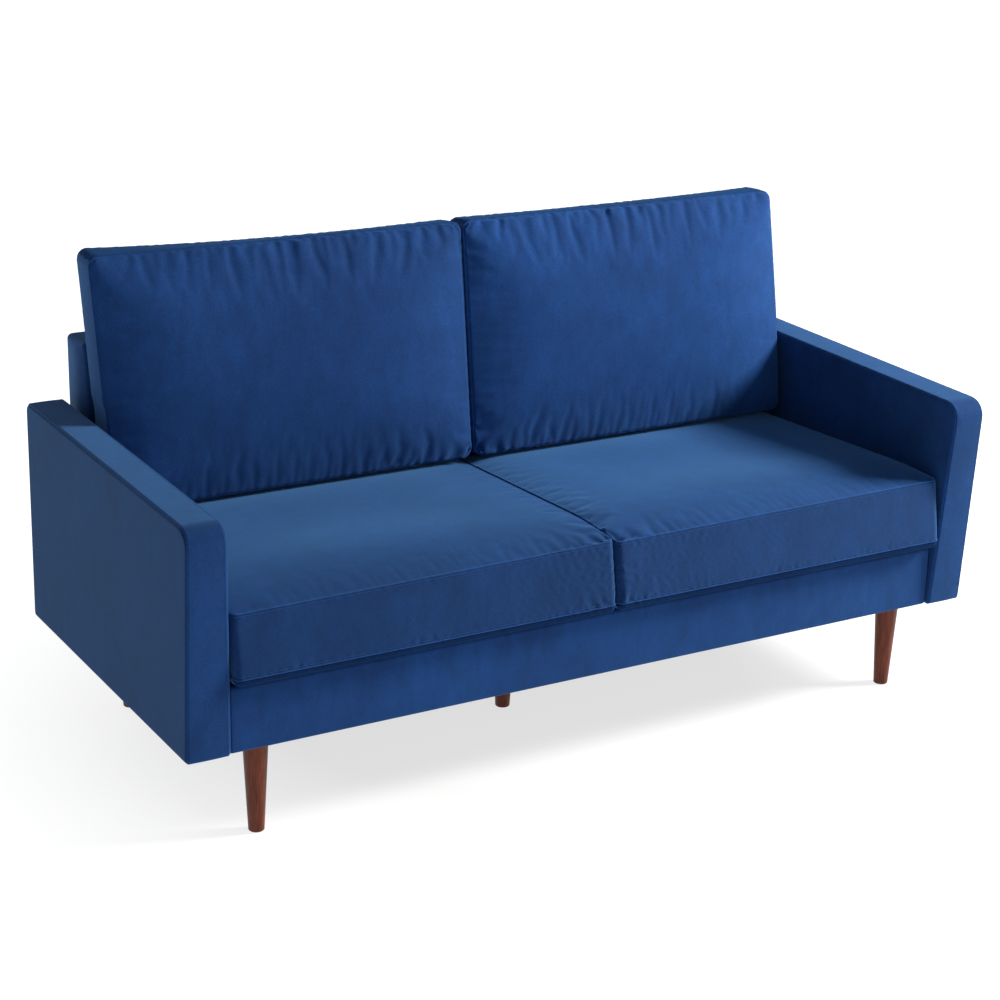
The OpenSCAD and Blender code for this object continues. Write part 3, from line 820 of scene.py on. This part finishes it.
def mark_zip(ob, cover, tape, depth, across, outward):
    """Mark the rows of a cover's boxing that its zip runs along, by the CAD tape's place."""
    low, high = local_box(tape, DECK)
    middle = (low + high) / 2
    local = points_of(ob) @ DECK.T / MM
    facing = (normals_of(ob) @ DECK.T)[:, depth] * outward
    marks = np.zeros(len(local))
    for ring in cover.rings[1:cover.low_row]:
        there = ring[(facing[ring] > 0.8) & (np.abs(local[ring, 0] - middle[0]) < ZIP_LENGTH / 2)]
        if len(there) and abs(np.median(local[there, across]) - middle[across]) < ZIP_WIDTH / 2:
            marks[there] = 1
    store(ob, "zip", marks)


def sink_zip(ob, tape, depth, outward):
    """Sink the marked rows to behind the zip's tape, so that tape and slider show in a slot."""
    low, high = local_box(tape, DECK)
    behind = low[depth] - 0.4 if outward > 0 else high[depth] + 0.4
    local = points_of(ob) @ DECK.T / MM
    local[numbers_of(ob, "zip") > 0.45, depth] = behind
    move_points(ob, local @ DECK * MM)


SEAT_DEPTH = 157.0
SEAT_GAP = 0.8
SEAT_CROWN = 6.0
SEAT_LOW_SEAM = 21.0
SEAT_LEAN = 19.0        # how far the front panel's top stands behind its foot
SEAT_REAR_DROP = 8.0
SEAT_DROOP = {"left": (13.0, 21.0), "right": (18.0, 10.0)}  # of the front edge, inner and outer end
DROOP_REACH = 170.0
SEAT_CORNER_GATHER = Gather(0.014, 0.080, 0.0050, 0.0048)
SEAT_EDGE_GATHER = Gather(0.019, 0.020, 0.0040, 0.0005)
FRONT_CORNER_GATHER = Gather(0.012, 0.055, 0.0045, 0.0036)
FRONT_LOW_GATHER = Gather(0.011, 0.020, 0.0034, 0.0020)
FRONT_TOP_GATHER = Gather(0.012, 0.014, 0.0034, 0.0015)
CORNER_REACH = 0.10


def seat_cushion(side_name):
    """Velvet cover of a seat cushion on its foam, before the simulation."""
    side = SIDES[side_name]
    low, high = local_box(f"seat_cushion_{side_name}_cover", DECK, side)
    width = high[0] - low[0] - 2 * SEAT_GAP
    length = high[1] - low[1] - 2 * SEAT_GAP
    cover = Cover(width, length, SEAT_DEPTH, (15, 15, 12, 12), top=(7, 45), bottom=(18, 15),
                  bulge=0.5, crown=(SEAT_CROWN, 0), low_seam=SEAT_LOW_SEAM)
    u, v, w = cover.points.T.copy()
    across, along = shares(cover)
    inner, outer = SEAT_DROOP[side_name]
    droop = inner + (outer - inner) * across
    w = w - droop * (w / SEAT_DEPTH) * np.clip(1 - v / DROOP_REACH, 0, 1) ** 1.8
    rise = np.clip((w - SEAT_LOW_SEAM + 1) / (SEAT_DEPTH - SEAT_LOW_SEAM + 1), 0, 1)
    lean = SEAT_LEAN * rise * (1 - along) ** 3
    w = w * (1 - SEAT_REAR_DROP / SEAT_DEPTH * along)
    origin = (low[0] + SEAT_GAP, low[1] + SEAT_GAP, low[2] + 0.3)
    points = place(np.stack([u, v + lean, w], -1), DECK, origin, side)
    # The right cushion's velvet copy is lighter than the left one: painted light from the right.
    ob = cover_object(f"seat_cushion_{side_name}_velvet", cover, points, side,
                      f"velvet_seat_{side_name}")
    return ob, cover


def seat_gathers(a, b):
    """Where a seat cushion gathers: its front corner beside the other cushion, a little elsewhere."""
    corner = np.exp(-np.hypot(a * 0.80, b * 0.68) / 0.075)
    front = 0.10 * np.exp(-b / 0.10)
    return 1.3 * corner + front + 0.06


def finish_seat(side_name, ob, cover):
    """Seams, folds, painted shade on the front and strip, a painted highlight on the seam edges, stitching and zip
    slot of a seat cushion, after the simulation.
    """
    side = SIDES[side_name]
    body = f"seat_cushion_{side_name}"
    zip_tape = f"{body}_zip"
    co = points_of(ob)
    top_ring, low_ring = [co[ring] for ring in cover.seams]
    stitch_paths = [closed_path(co[cover.ring_at(4.5)]), closed_path(co[cover.ring_at(-4.0, seam=1)])]
    foam_core(f"{body}_block", ob, f"{body}_foam", body)
    raise_seam(ob, cover.rings[0], cover.rings[1], 1.1)
    raise_seam(ob, cover.rings[cover.low_row], cover.rings[cover.low_row + 1], 0.9)
    mark_zip(ob, cover, zip_tape, **SEAT_ZIP)
    subdivide(ob)
    inward = toward(co.mean(0), DECK_UP)
    front_corner = top_ring[np.argmin(top_ring @ np.array([side * 1.0, 1.5, 0]))]

    def near_corner(p):
        return float(np.clip(1.15 - np.linalg.norm(p[:2] - front_corner[:2]) / CORNER_REACH, 0.0, 1))

    folds = Folds(11 + side)
    folds.along(top_ring, inward, SEAT_CORNER_GATHER, near_corner, 0.35)
    folds.along(top_ring, inward, SEAT_EDGE_GATHER)
    folds.apply(ob, region_mask(ob, 0))
    folds = Folds(31 + side)
    folds.along(low_ring, one_way(DECK_UP), FRONT_CORNER_GATHER, near_corner, 0.7)
    folds.along(low_ring, one_way(DECK_UP), FRONT_LOW_GATHER)
    folds.along(top_ring, one_way(-DECK_UP), FRONT_TOP_GATHER)
    folds.apply(ob, region_mask(ob, 1))
    # The strip under the low seam gets a darker velvet: painted shade.
    dress_facing_faces(ob, "velvet_strip_shade", (1.4, 2.5), -DECK_BACK, 0.1)
    # The front boxing gets a darker velvet: painted shade.
    dress_facing_faces(ob, "velvet_seat_front_shade", (0.4, 1.6), -DECK_BACK, 0.6)
    thread_rows(f"{body}_stitching", ob, stitch_paths, body)
    seam_edges(f"{body}_seam_edges", [top_ring, low_ring], ob, 0.8 * MM, body)
    sink_zip(ob, zip_tape, SEAT_ZIP["depth"], SEAT_ZIP["outward"])
    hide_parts(f"{body}_cover")
    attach(ob, body)


BACK_BOXING = 69.0
BACK_CROWN = 31.0
BACK_HEIGHT = 494.0
BACK_CAD_HEIGHT = 492.0
BACK_BELLY = 29.8       # from the rearmost point of the CAD cover to the rear seam
BACK_LIFT = {"left": (1.5, -1.0, 15.0), "right": (3.0, 0.5, 7.0)}  # of the rear top edge
BACK_SPREAD = {"left": 8.0, "right": -14.0}  # of the outer top corner
BACK_GATHERS = [(Gather(0.040, 0.100, 0.0085, 0.0043), 0.35), (Gather(0.017, 0.045, 0.0052, 0.0028), 0.25),
                (Gather(0.011, 0.018, 0.0036, 0.0011), 0.15)]
BOXING_FRONT_GATHER = Gather(0.014, 0.024, 0.0044, 0.0008)
BOXING_REAR_GATHER = Gather(0.014, 0.020, 0.0044, 0.0005)


def back_cushion(side_name):
    """Velvet cover of a back cushion on its filling, before the simulation."""
    side = SIDES[side_name]
    low, high = local_box(f"back_cushion_{side_name}_cover", LEAN, side)
    width = high[0] - low[0] - 2 * SEAT_GAP
    cover = Cover(width, BACK_HEIGHT, BACK_BOXING, (24, 24, 22, 22), top=(6, 45), bottom=(6, 45),
                  bulge=1.5, crown=(BACK_CROWN, BACK_CROWN))
    u, v, w = cover.points.T.copy()
    across, up = shares(cover)
    sole = math.tan(math.acos(float(np.dot(LEAN_UP, DECK_UP))))
    v = v - (w - BACK_BOXING) * sole * (1 - up)
    rear = np.clip(1 - w / BACK_BOXING, 0, 1)
    inner, middle, outer = BACK_LIFT[side_name]
    lift = (inner * (1 - across) * (1 - 2 * across) + 4 * middle * across * (1 - across)
            + outer * across * (2 * across - 1))
    v = v + lift * rear * up ** 3
    u = u + BACK_SPREAD[side_name] * across ** 2 * np.clip((up - 0.3) / 0.7, 0, 1) ** 1.2
    origin = (low[0] + SEAT_GAP, high[1] - BACK_CAD_HEIGHT, low[2] + BACK_BELLY)
    points = place(np.stack([u, v, w], -1), LEAN, origin, side)
    # The right cushion's velvet copy is lighter than the left one: painted light from the right.
    ob = cover_object(f"back_cushion_{side_name}_velvet", cover, points, side,
                      f"velvet_back_{side_name}")
    return ob, cover


def back_gathers(a, b):
    """Where a back cushion gathers: along its top and foot, most beside the other cushion."""
    inner = np.exp(-a / 0.28)
    middle = np.exp(-((a - 0.48) / 0.15) ** 2)
    outer = np.exp(-(1 - a) / 0.12)
    top = 0.22 + 0.70 * inner + 0.45 * middle + 0.15 * outer
    foot = 0.10 + 0.85 * inner ** 1.9 + 0.10 * outer
    return 0.08 + top * np.clip((b - 0.7) / 0.25, 0, 1) + foot * np.clip((0.3 - b) / 0.25, 0, 1)


def finish_back(side_name, ob, cover):
    """Seams, folds, a duller copy of the velvet on the top strip and zip slot of a back cushion, after the
    simulation.
    """
    side = SIDES[side_name]
    body = f"back_cushion_{side_name}"
    zip_tape = f"{body}_zip"
    co = points_of(ob)
    front_ring, rear_ring = [co[ring] for ring in cover.seams]
    foam_core(f"{body}_filling", ob, f"{body}_fill", body)
    sink_seams(ob, cover, 3.0, 0.9)
    mark_zip(ob, cover, zip_tape, **BACK_ZIP)
    subdivide(ob)
    heights = front_ring @ LEAN_UP
    top, foot = heights.max(), heights.min()
    inner = np.abs(front_ring[:, 0]).min()
    width = np.abs(front_ring[:, 0]).max() - inner

    def gathers(p):
        share = back_gathers((abs(p[0]) - inner) / width, (p @ LEAN_UP - foot) / (top - foot))
        return float(np.clip(share, 0, 1))

    for seed, ring, panel in ((51, front_ring, 0), (71, rear_ring, 2)):
        folds = Folds(seed + side)
        inward = toward(ring.mean(0), LEAN_FRONT)
        for kind, tilt in BACK_GATHERS:
            folds.along(ring, inward, kind, gathers, tilt)
        folds.apply(ob, region_mask(ob, panel))
    folds = Folds(91 + side)
    folds.along(front_ring, one_way(-LEAN_FRONT), BOXING_FRONT_GATHER)
    folds.along(rear_ring, one_way(LEAN_FRONT), BOXING_REAR_GATHER)
    folds.apply(ob, region_mask(ob, 1))
    # The top strip gets the slightly darker, duller copy of the velvet.
    dress_facing_faces(ob, "velvet_back_top_strip", (0.5, 1.5), LEAN_UP, 0.6)
    sink_zip(ob, zip_tape, BACK_ZIP["depth"], BACK_ZIP["outward"])
    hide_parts(f"{body}_cover")
    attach(ob, body)


ARM_THICKNESS = 80.0    # as drawn; the cover is then spread over the CAD arm's real thickness
ARM_INNER_LEAN = 11.5   # how far the inner face's top stands outside its foot
ARM_FRONT_FALL = 12.0   # how much lower the top is at its front
ARM_REAR_SWELL = 2.5
ARM_REAR_LEAN = 8.0
ARM_GATHERS = [Gather(0.013, 0.026, 0.0042, 0.0013), Gather(0.015, 0.018, 0.0042, 0.0009)]


def arm(side_name):
    """Velvet of an arm: inner and outer panels with a border strip between them."""
    side = SIDES[side_name]
    cad = f"arm_{side_name}_cover"
    points = node_points(cad)
    points[:, 0] *= side
    low, high = points.min(0), points.max(0)
    foot_front = points[points[:, 2] < low[2] + 10][:, 1].min()
    width, height = high[1] - low[1], high[2] - low[2]
    cover = Cover(width, height, ARM_THICKNESS, (8, 12, 18, 38), top=(7, 45), bottom=(7, 45),
                  bulge=0.8)
    u, v, w = cover.points.T.copy()
    a, b = u / width, v / height
    top_front, top_rear = high[2] - ARM_FRONT_FALL, high[2] + 0.3
    front = foot_front + (low[1] - foot_front) * b
    rear = high[1] + ARM_REAR_SWELL - ARM_REAR_LEAN * b
    y = front + (rear - front) * a
    z = low[2] + (top_front + (top_rear - top_front) * a - low[2]) * b
    inner = low[0] + ARM_INNER_LEAN * b
    x = inner + (high[0] - inner) * w / ARM_THICKNESS
    world = np.stack([x * side, y, z], -1) * MM
    ob = cover_object(f"arm_{side_name}_velvet", cover, world, side, "velvet_arm")
    outer_ring, inner_ring = [world[ring] for ring in cover.seams]
    paths = [closed_path(world[cover.ring_at(5.0)]), closed_path(world[cover.ring_at(-5.0, seam=1)])]
    sink_seams(ob, cover, 1.9, 0.5)
    subdivide(ob)
    outward = np.array([side, 0.0, 0.0])

    def strong(p):
        return 1.0 if p[1] < -0.33 else 0.6

    folds = Folds(111 + side)
    folds.along(inner_ring, one_way(outward), ARM_GATHERS[0], strong, 0.12)
    folds.along(outer_ring, one_way(-outward), ARM_GATHERS[1], strong, 0.12)
    folds.apply(ob, region_mask(ob, 1))
    # The outer panels get a darker velvet: painted shade on the arm's outer side.
    dress_facing_faces(ob, "velvet_arm_side_shade", (-0.5, 0.5), outward, 0.6)
    thread_rows(f"arm_{side_name}_stitching", ob, paths, "root")
    seam_edges(f"arm_{side_name}_seam_edge", [inner_ring], ob, 0.7 * MM, "root")
    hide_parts(cad)
    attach(ob, "root")


# ---- Front rail and back: outlines carried across the sofa ----

def outline(corners, spacing):
    """Closed outline with rounded corners from (y, z, radius) corners, evenly spaced."""
    points = []
    n = len(corners)
    for i in range(n):
        a, b, c = [np.array(corners[(i + k) % n][:2], float) for k in (-1, 0, 1)]
        r = corners[i][2]
        u, v = (a - b) / np.linalg.norm(a - b), (c - b) / np.linalg.norm(c - b)
        half = math.acos(np.clip(u @ v, -1, 1)) / 2
        if r <= 0:
            points.append(b)
            continue
        centre = b + (u + v) / np.linalg.norm(u + v) * r / math.sin(half)
        p, q = b + u * r / math.tan(half) - centre, b + v * r / math.tan(half) - centre
        for t in np.linspace(0, 1, 7):
            way = p * (1 - t) + q * t
            points.append(centre + way / np.linalg.norm(way) * r)
    points = np.array(points)
    result = []
    for p, q in zip(points, np.roll(points, -1, 0)):
        count = max(1, int(round(np.linalg.norm(q - p) / spacing)))
        result += [p + (q - p) * k / count for k in range(count)]
    return np.array(result)


SWEEP_STEP = 9.0


def swept(points, x0, x1, end_radius):
    """Outline carried from x0 to x1 with rounded ends: points in millimetres, and faces."""
    n = len(points)
    forward, backward = np.roll(points, -1, 0) - points, points - np.roll(points, 1, 0)
    way = forward / np.linalg.norm(forward, axis=1, keepdims=True)
    way += backward / np.linalg.norm(backward, axis=1, keepdims=True)
    way /= np.linalg.norm(way, axis=1, keepdims=True)
    area = np.sum(points[:, 0] * np.roll(points[:, 1], -1) - np.roll(points[:, 0], -1) * points[:, 1])
    out = np.stack([way[:, 1], -way[:, 0]], -1) * (1 if area > 0 else -1)
    turn = np.linspace(0.5, math.pi / 2, 5)
    start = list(zip(x0 + end_radius * (1 - np.cos(turn)), end_radius * (1 - np.sin(turn))))
    count = round((x1 - x0 - 2 * end_radius) / SWEEP_STEP)
    middle = [(x, 0.0) for x in np.linspace(x0 + end_radius, x1 - end_radius, count + 1)[1:-1]]
    stations = start + middle + [(x0 + x1 - x, inset) for x, inset in start[::-1]]
    rows = [np.column_stack([np.full(n, x), points - out * inset]) for x, inset in stations]
    faces = []
    for k in range(len(rows) - 1):
        a, b = k * n + np.arange(n), (k + 1) * n + np.arange(n)
        faces += np.stack([a, b, np.roll(b, -1), np.roll(a, -1)], -1).tolist()
    ends = [[row * n + k for k in range(n)] for row in (0, len(rows) - 1)]
    return np.concatenate(rows), faces + ends


def fix_normals(ob):
    """Split the big end faces into triangles and turn every face outward."""
    bm = bmesh.new()
    bm.from_mesh(ob.data)
    big = [f for f in bm.faces if len(f.verts) > 4]
    bmesh.ops.triangulate(bm, faces=big, ngon_method="BEAUTY")
    bmesh.ops.recalc_face_normals(bm, faces=bm.faces)
    bm.to_mesh(ob.data)
    bm.free()
    ob.data.polygons.foreach_set("use_smooth", [True] * len(ob.data.polygons))


def front_rail():
    """Velvet over the front rail, with a soft top edge."""
    low, high = [np.array(c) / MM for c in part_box("front_rail_cover")]
    top = high[2] - 0.5
    corners = [(low[1], low[2], 6), (high[1], low[2], 2), (high[1], top, 2), (low[1], top, 9)]
    points, faces = swept(outline(corners, 6.0), low[0], high[0], 4.0)
    ob = new_mesh("front_rail_velvet", points * MM, faces)
    fix_normals(ob)
    finish_piece(ob, "velvet_frame")
    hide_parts("front_rail_cover")
    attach(ob, "root")


def back_border(low, high, inset):
    """Closed path round the outside back, that far in from its edges, on its rear face."""
    x, z0, z1 = high[0] - inset, low[2] + inset, high[2] - inset
    corners = [(-x, z0), (x, z0), (x, z1), (-x, z1), (-x, z0)]
    path = []
    for a, b in zip(corners[:-1], corners[1:]):
        count = round(math.dist(a, b) / 12)
        path += [(a[0] + (b[0] - a[0]) * k / count, high[1], a[1] + (b[1] - a[1]) * k / count)
                 for k in range(count)]
    return closed_path(np.array(path)) * MM


BACK_TOP_DEPTH = 98.0   # of the back at its top
BACK_FACE_FOOT = 316.0  # height at which the back's front face comes furthest forward


def back_frame():
    """Velvet over the back: an upright rear face, a leaning front face and a rounded top."""
    points = node_points("back_cover")
    low, high = points.min(0), points.max(0)
    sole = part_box("back_foam")[0][2] / MM
    tongue = points[points[:, 2] < low[2] + 5][:, 1].min()
    face_top = high[1] - BACK_TOP_DEPTH
    slope = (face_top - low[1]) / (high[2] - BACK_FACE_FOOT)
    face_sole = low[1] + slope * (sole - BACK_FACE_FOOT) + 1.0
    corners = [(high[1], low[2], 3), (high[1], high[2], 10), (face_top, high[2], 14),
               (face_sole, sole, 4), (tongue, sole, 0), (tongue, low[2], 2)]
    verts, faces = swept(outline(corners, 8.0), low[0], high[0], 12.0)
    ob = new_mesh("back_velvet", verts * MM, faces)
    fix_normals(ob)
    finish_piece(ob, "velvet_arm")
    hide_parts("back_cover")
    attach(ob, "root")
    thread_rows("back_stitching", ob, [back_border(low, high, inset) for inset in (14.0, 20.0)], "root")
    seam_edges("back_seam_edge", [back_border(low, high, 9.0)[:-1]], ob, 0.8 * MM, "root")


# ---- Cloths under the cushions and under the frame ----

CLOTH_THICKNESS = 0.8


def cloth_sheet(name, xs, ys, surface, holes, material_name, thickness=CLOTH_THICKNESS):
    """Thin cloth over a grid in millimetres: surface(x, y) gives a point, holes are (x0, x1, y0, y1)."""
    points, faces, index = [], [], {}

    def corner(i, j, layer):
        key = (i, j, layer)
        if key not in index:
            index[key] = len(points)
            x, y, z = surface(xs[i], ys[j])
            points.append((x * MM, y * MM, (z - layer * thickness) * MM))
        return index[key]

    def solid(i, j):
        if not (0 <= i < len(xs) - 1 and 0 <= j < len(ys) - 1):
            return False
        x, y = (xs[i] + xs[i + 1]) / 2, (ys[j] + ys[j + 1]) / 2
        return not any(a < x < b and c < y < d for a, b, c, d in holes)

    for i in range(len(xs) - 1):
        for j in range(len(ys) - 1):
            if not solid(i, j):
                continue
            square = [(i, j), (i + 1, j), (i + 1, j + 1), (i, j + 1)]
            faces.append([corner(*c, 0) for c in square])
            faces.append([corner(*c, 1) for c in square][::-1])
            beside = [(i, j - 1), (i + 1, j), (i, j + 1), (i - 1, j)]
            for k, other in enumerate(beside):
                if not solid(*other):
                    a, b = square[k], square[(k + 1) % 4]
                    faces.append([corner(*a, 1), corner(*b, 1), corner(*b, 0), corner(*a, 0)])
    ob = new_mesh(name, points, faces)
    finish_piece(ob, material_name)
    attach(ob, "root")
    return ob


def lines(low, high, spacing, extra=()):
    """Grid lines from low to high with extra lines among them."""
    count = max(1, round((high - low) / spacing))
    return np.unique(np.round([*np.linspace(low, high, count + 1), *extra], 3))


def deck_cloth():
    """Black cloth stretched over the pad on the springs, with slight hollows between the springs."""
    low, high = local_box("deck_cloth", DECK)
    level = high[2] - 0.3
    pitch = (high[0] - low[0]) / 8

    def surface(x, y):
        rim = min(1.0, (x - low[0]) / 60, (high[0] - x) / 60, (y - low[1]) / 60, (high[1] - y) / 60)
        dip = 0.45 * rim * (1 + math.cos(2 * math.pi * (x - low[0]) / pitch)) / 2
        return np.array([x, y, level - dip]) @ DECK

    ob = cloth_sheet("deck_cloth_sheet", lines(low[0], high[0], 12.0), lines(low[1], high[1], 24.0),
                     surface, [], "deck_cloth")
    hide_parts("deck_cloth")


def deck_pad():
    """Needled felt pad over the springs, dimpled on a diagonal grid by the needling."""
    low, high = local_box("deck_pad", DECK)
    thick = high[2] - low[2] - 0.8

    def surface(x, y):
        dimple = math.cos(math.pi * (x + y) / 40) * math.cos(math.pi * (x - y) / 40)
        return np.array([x, y, high[2] - 0.8 - 0.5 * max(0.0, dimple)]) @ DECK

    ob = cloth_sheet("deck_pad_felt", lines(low[0], high[0], 10.0), lines(low[1], high[1], 10.0),
                     surface, [], "felt", thick)
    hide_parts("deck_pad")


LEGS = ["leg_front_left", "leg_front_right", "leg_rear_left", "leg_rear_right", "leg_centre"]
LEG_CUTOUT = 33.0       # half the side of the square cut out round a leg's plate


def dust_cover():
    """Black dust cloth stapled under the frame, cut out round the leg plates."""
    low, high = [np.array(c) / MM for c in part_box("dust_cover")]
    half = LEG_CUTOUT
    tops = [node_points(leg) for leg in LEGS]
    centres = [(t[t[:, 2] > t[:, 2].max() - 3][:, :2]).mean(0) for t in tops]
    holes = [(c[0] - half, c[0] + half, c[1] - half, c[1] + half) for c in centres]
    xs = lines(low[0], high[0], 14.0, [x for hole in holes for x in hole[:2]])
    ys = lines(low[1], high[1], 14.0, [y for hole in holes for y in hole[2:]])

    def surface(x, y):
        rim = min(1.0, (x - low[0]) / 80, (high[0] - x) / 80, (y - low[1]) / 80, (high[1] - y) / 80)
        near = min(max(abs(x - c[0]), abs(y - c[1])) for c in centres) - half
        sag = 3.0 * max(rim, 0) * min(1.0, max(near, 0) / 80)
        return np.array([x, y, high[2] - sag])

    ob = cloth_sheet("dust_cover_sheet", xs, ys, surface, holes, "lining_cloth")
    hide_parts("dust_cover")


# ---- Light, floor and camera ----

CAMERA_AT = (-2.258, -3.748, 1.935)
CAMERA_YAW = 30.71
CAMERA_PITCH = 19.07
CAMERA_ROLL = -1.39
CAMERA_LENS = 81.5
# The floor glows less near the sofa than away from it: painted shade round the sofa.
FLOOR_GLOW = (0.70, 1.02)        # emission under the sofa and away from it
FLOOR_GLOW_REACH = (0.50, 1.38)  # distances from the middle where it starts and stops growing
STUDIO_LIGHT = 0.22


def make_camera():
    yaw, pitch, roll = [math.radians(a) for a in (CAMERA_YAW, CAMERA_PITCH, CAMERA_ROLL)]
    forward = Vector((math.sin(yaw) * math.cos(pitch), math.cos(yaw) * math.cos(pitch),
                      -math.sin(pitch)))
    right = Vector((math.cos(yaw), -math.sin(yaw), 0))
    down = forward.cross(right)
    across = right * math.cos(roll) + down * math.sin(roll)
    under = down * math.cos(roll) - right * math.sin(roll)
    data = bpy.data.cameras.new("camera")
    data.lens = CAMERA_LENS
    data.sensor_width = 36.0
    data.clip_end = 60.0
    camera = bpy.data.objects.new("camera", data)
    turn = Matrix((across, -under, -forward)).transposed().to_4x4()
    camera.matrix_world = Matrix.Translation(CAMERA_AT) @ turn
    bpy.context.scene.collection.objects.link(camera)
    bpy.context.scene.camera = camera


def make_light(name, at, target, size, power, colour=(1, 1, 1)):
    data = bpy.data.lights.new(name, "AREA")
    data.shape = "RECTANGLE"
    data.size, data.size_y = size
    data.energy = power
    data.color = colour
    light = bpy.data.objects.new(name, data)
    light.location = at
    light.rotation_euler = (Vector(target) - Vector(at)).to_track_quat("-Z", "Y").to_euler()
    bpy.context.scene.collection.objects.link(light)


def make_stage():
    """White studio floor that glows a little, so that shadows on it stay light; its glow is weaker near the sofa,
    which paints shade round the sofa.
    """
    size = 40.0
    floor = new_mesh("floor", [(-size, -size, 0), (size, -size, 0), (size, size, 0), (-size, size, 0)],
                     [(0, 1, 2, 3)])
    look = Look("floor")
    look.drive("Base Color", look.ramp(look.noise(1.2), (0.3, 0.30), (0.7, 0.32)))
    look.uniform(Roughness=0.9, Specular_IOR_Level=0.0, Emission_Color=(1, 1, 1, 1))
    away = look.node("ShaderNodeVectorMath", operation="LENGTH")
    look.link(look.coords, away.inputs[0])
    glow = look.node("ShaderNodeMapRange")
    for socket, value in zip((1, 2, 3, 4), (*FLOOR_GLOW_REACH, *FLOOR_GLOW)):
        glow.inputs[socket].default_value = value
    look.link(away.outputs["Value"], glow.inputs[0])
    look.drive("Emission Strength", glow.outputs[0])
    floor.data.materials.append(look.mat)
    world = bpy.data.worlds.new("studio")
    world.use_nodes = True
    tree = world.node_tree
    studio = tree.nodes["Background"]
    studio.inputs["Color"].default_value = (0.94, 0.97, 1, 1)
    studio.inputs["Strength"].default_value = STUDIO_LIGHT
    backdrop = tree.nodes.new("ShaderNodeBackground")
    backdrop.inputs["Color"].default_value = (1, 1, 1, 1)
    seen = tree.nodes.new("ShaderNodeLightPath")
    choose = tree.nodes.new("ShaderNodeMixShader")
    tree.links.new(seen.outputs["Is Camera Ray"], choose.inputs["Fac"])
    tree.links.new(studio.outputs["Background"], choose.inputs[1])
    tree.links.new(backdrop.outputs["Background"], choose.inputs[2])
    tree.links.new(choose.outputs["Shader"], tree.nodes["World Output"].inputs["Surface"])
    bpy.context.scene.world = world
    make_light("key", (4.1, -1.5, 2.9), (0, 0, 0.4), (1.3, 1.3), 430.0, (1.0, 0.98, 0.95))
    make_light("rear", (-1.2, 4.0, 2.4), (0, 0, 0.4), (2.4, 1.6), 30.0)
    make_light("front", (0.6, -4.2, 2.2), (0, 0, 0.4), (2.4, 1.6), 16.0)
    bpy.context.scene.view_settings.view_transform = "Standard"


make_camera()
make_stage()
dress_cad_nodes()
SEATS = {name: seat_cushion(name) for name in SIDES}
BACKS = {name: back_cushion(name) for name in SIDES}
for ob, cover in SEATS.values():
    give_cloth(ob, firmness(cover, 0.12, boxing=0.7), seam_slack(cover, 90.0, seat_gathers))
for ob, cover in BACKS.values():
    give_cloth(ob, firmness(cover, 0.06, boxing=0.6), seam_slack(cover, 130.0, back_gathers))
run_cloth([ob for ob, cover in [*SEATS.values(), *BACKS.values()]])
for name, side in SIDES.items():
    finish_seat(name, *SEATS[name])
    keep_inside(SEATS[name][0], side)
    finish_back(name, *BACKS[name])
    keep_inside(BACKS[name][0], side, above=ARM_TOP)
    arm(name)
deck_pad()
deck_cloth()
dust_cover()
front_rail()
back_frame()
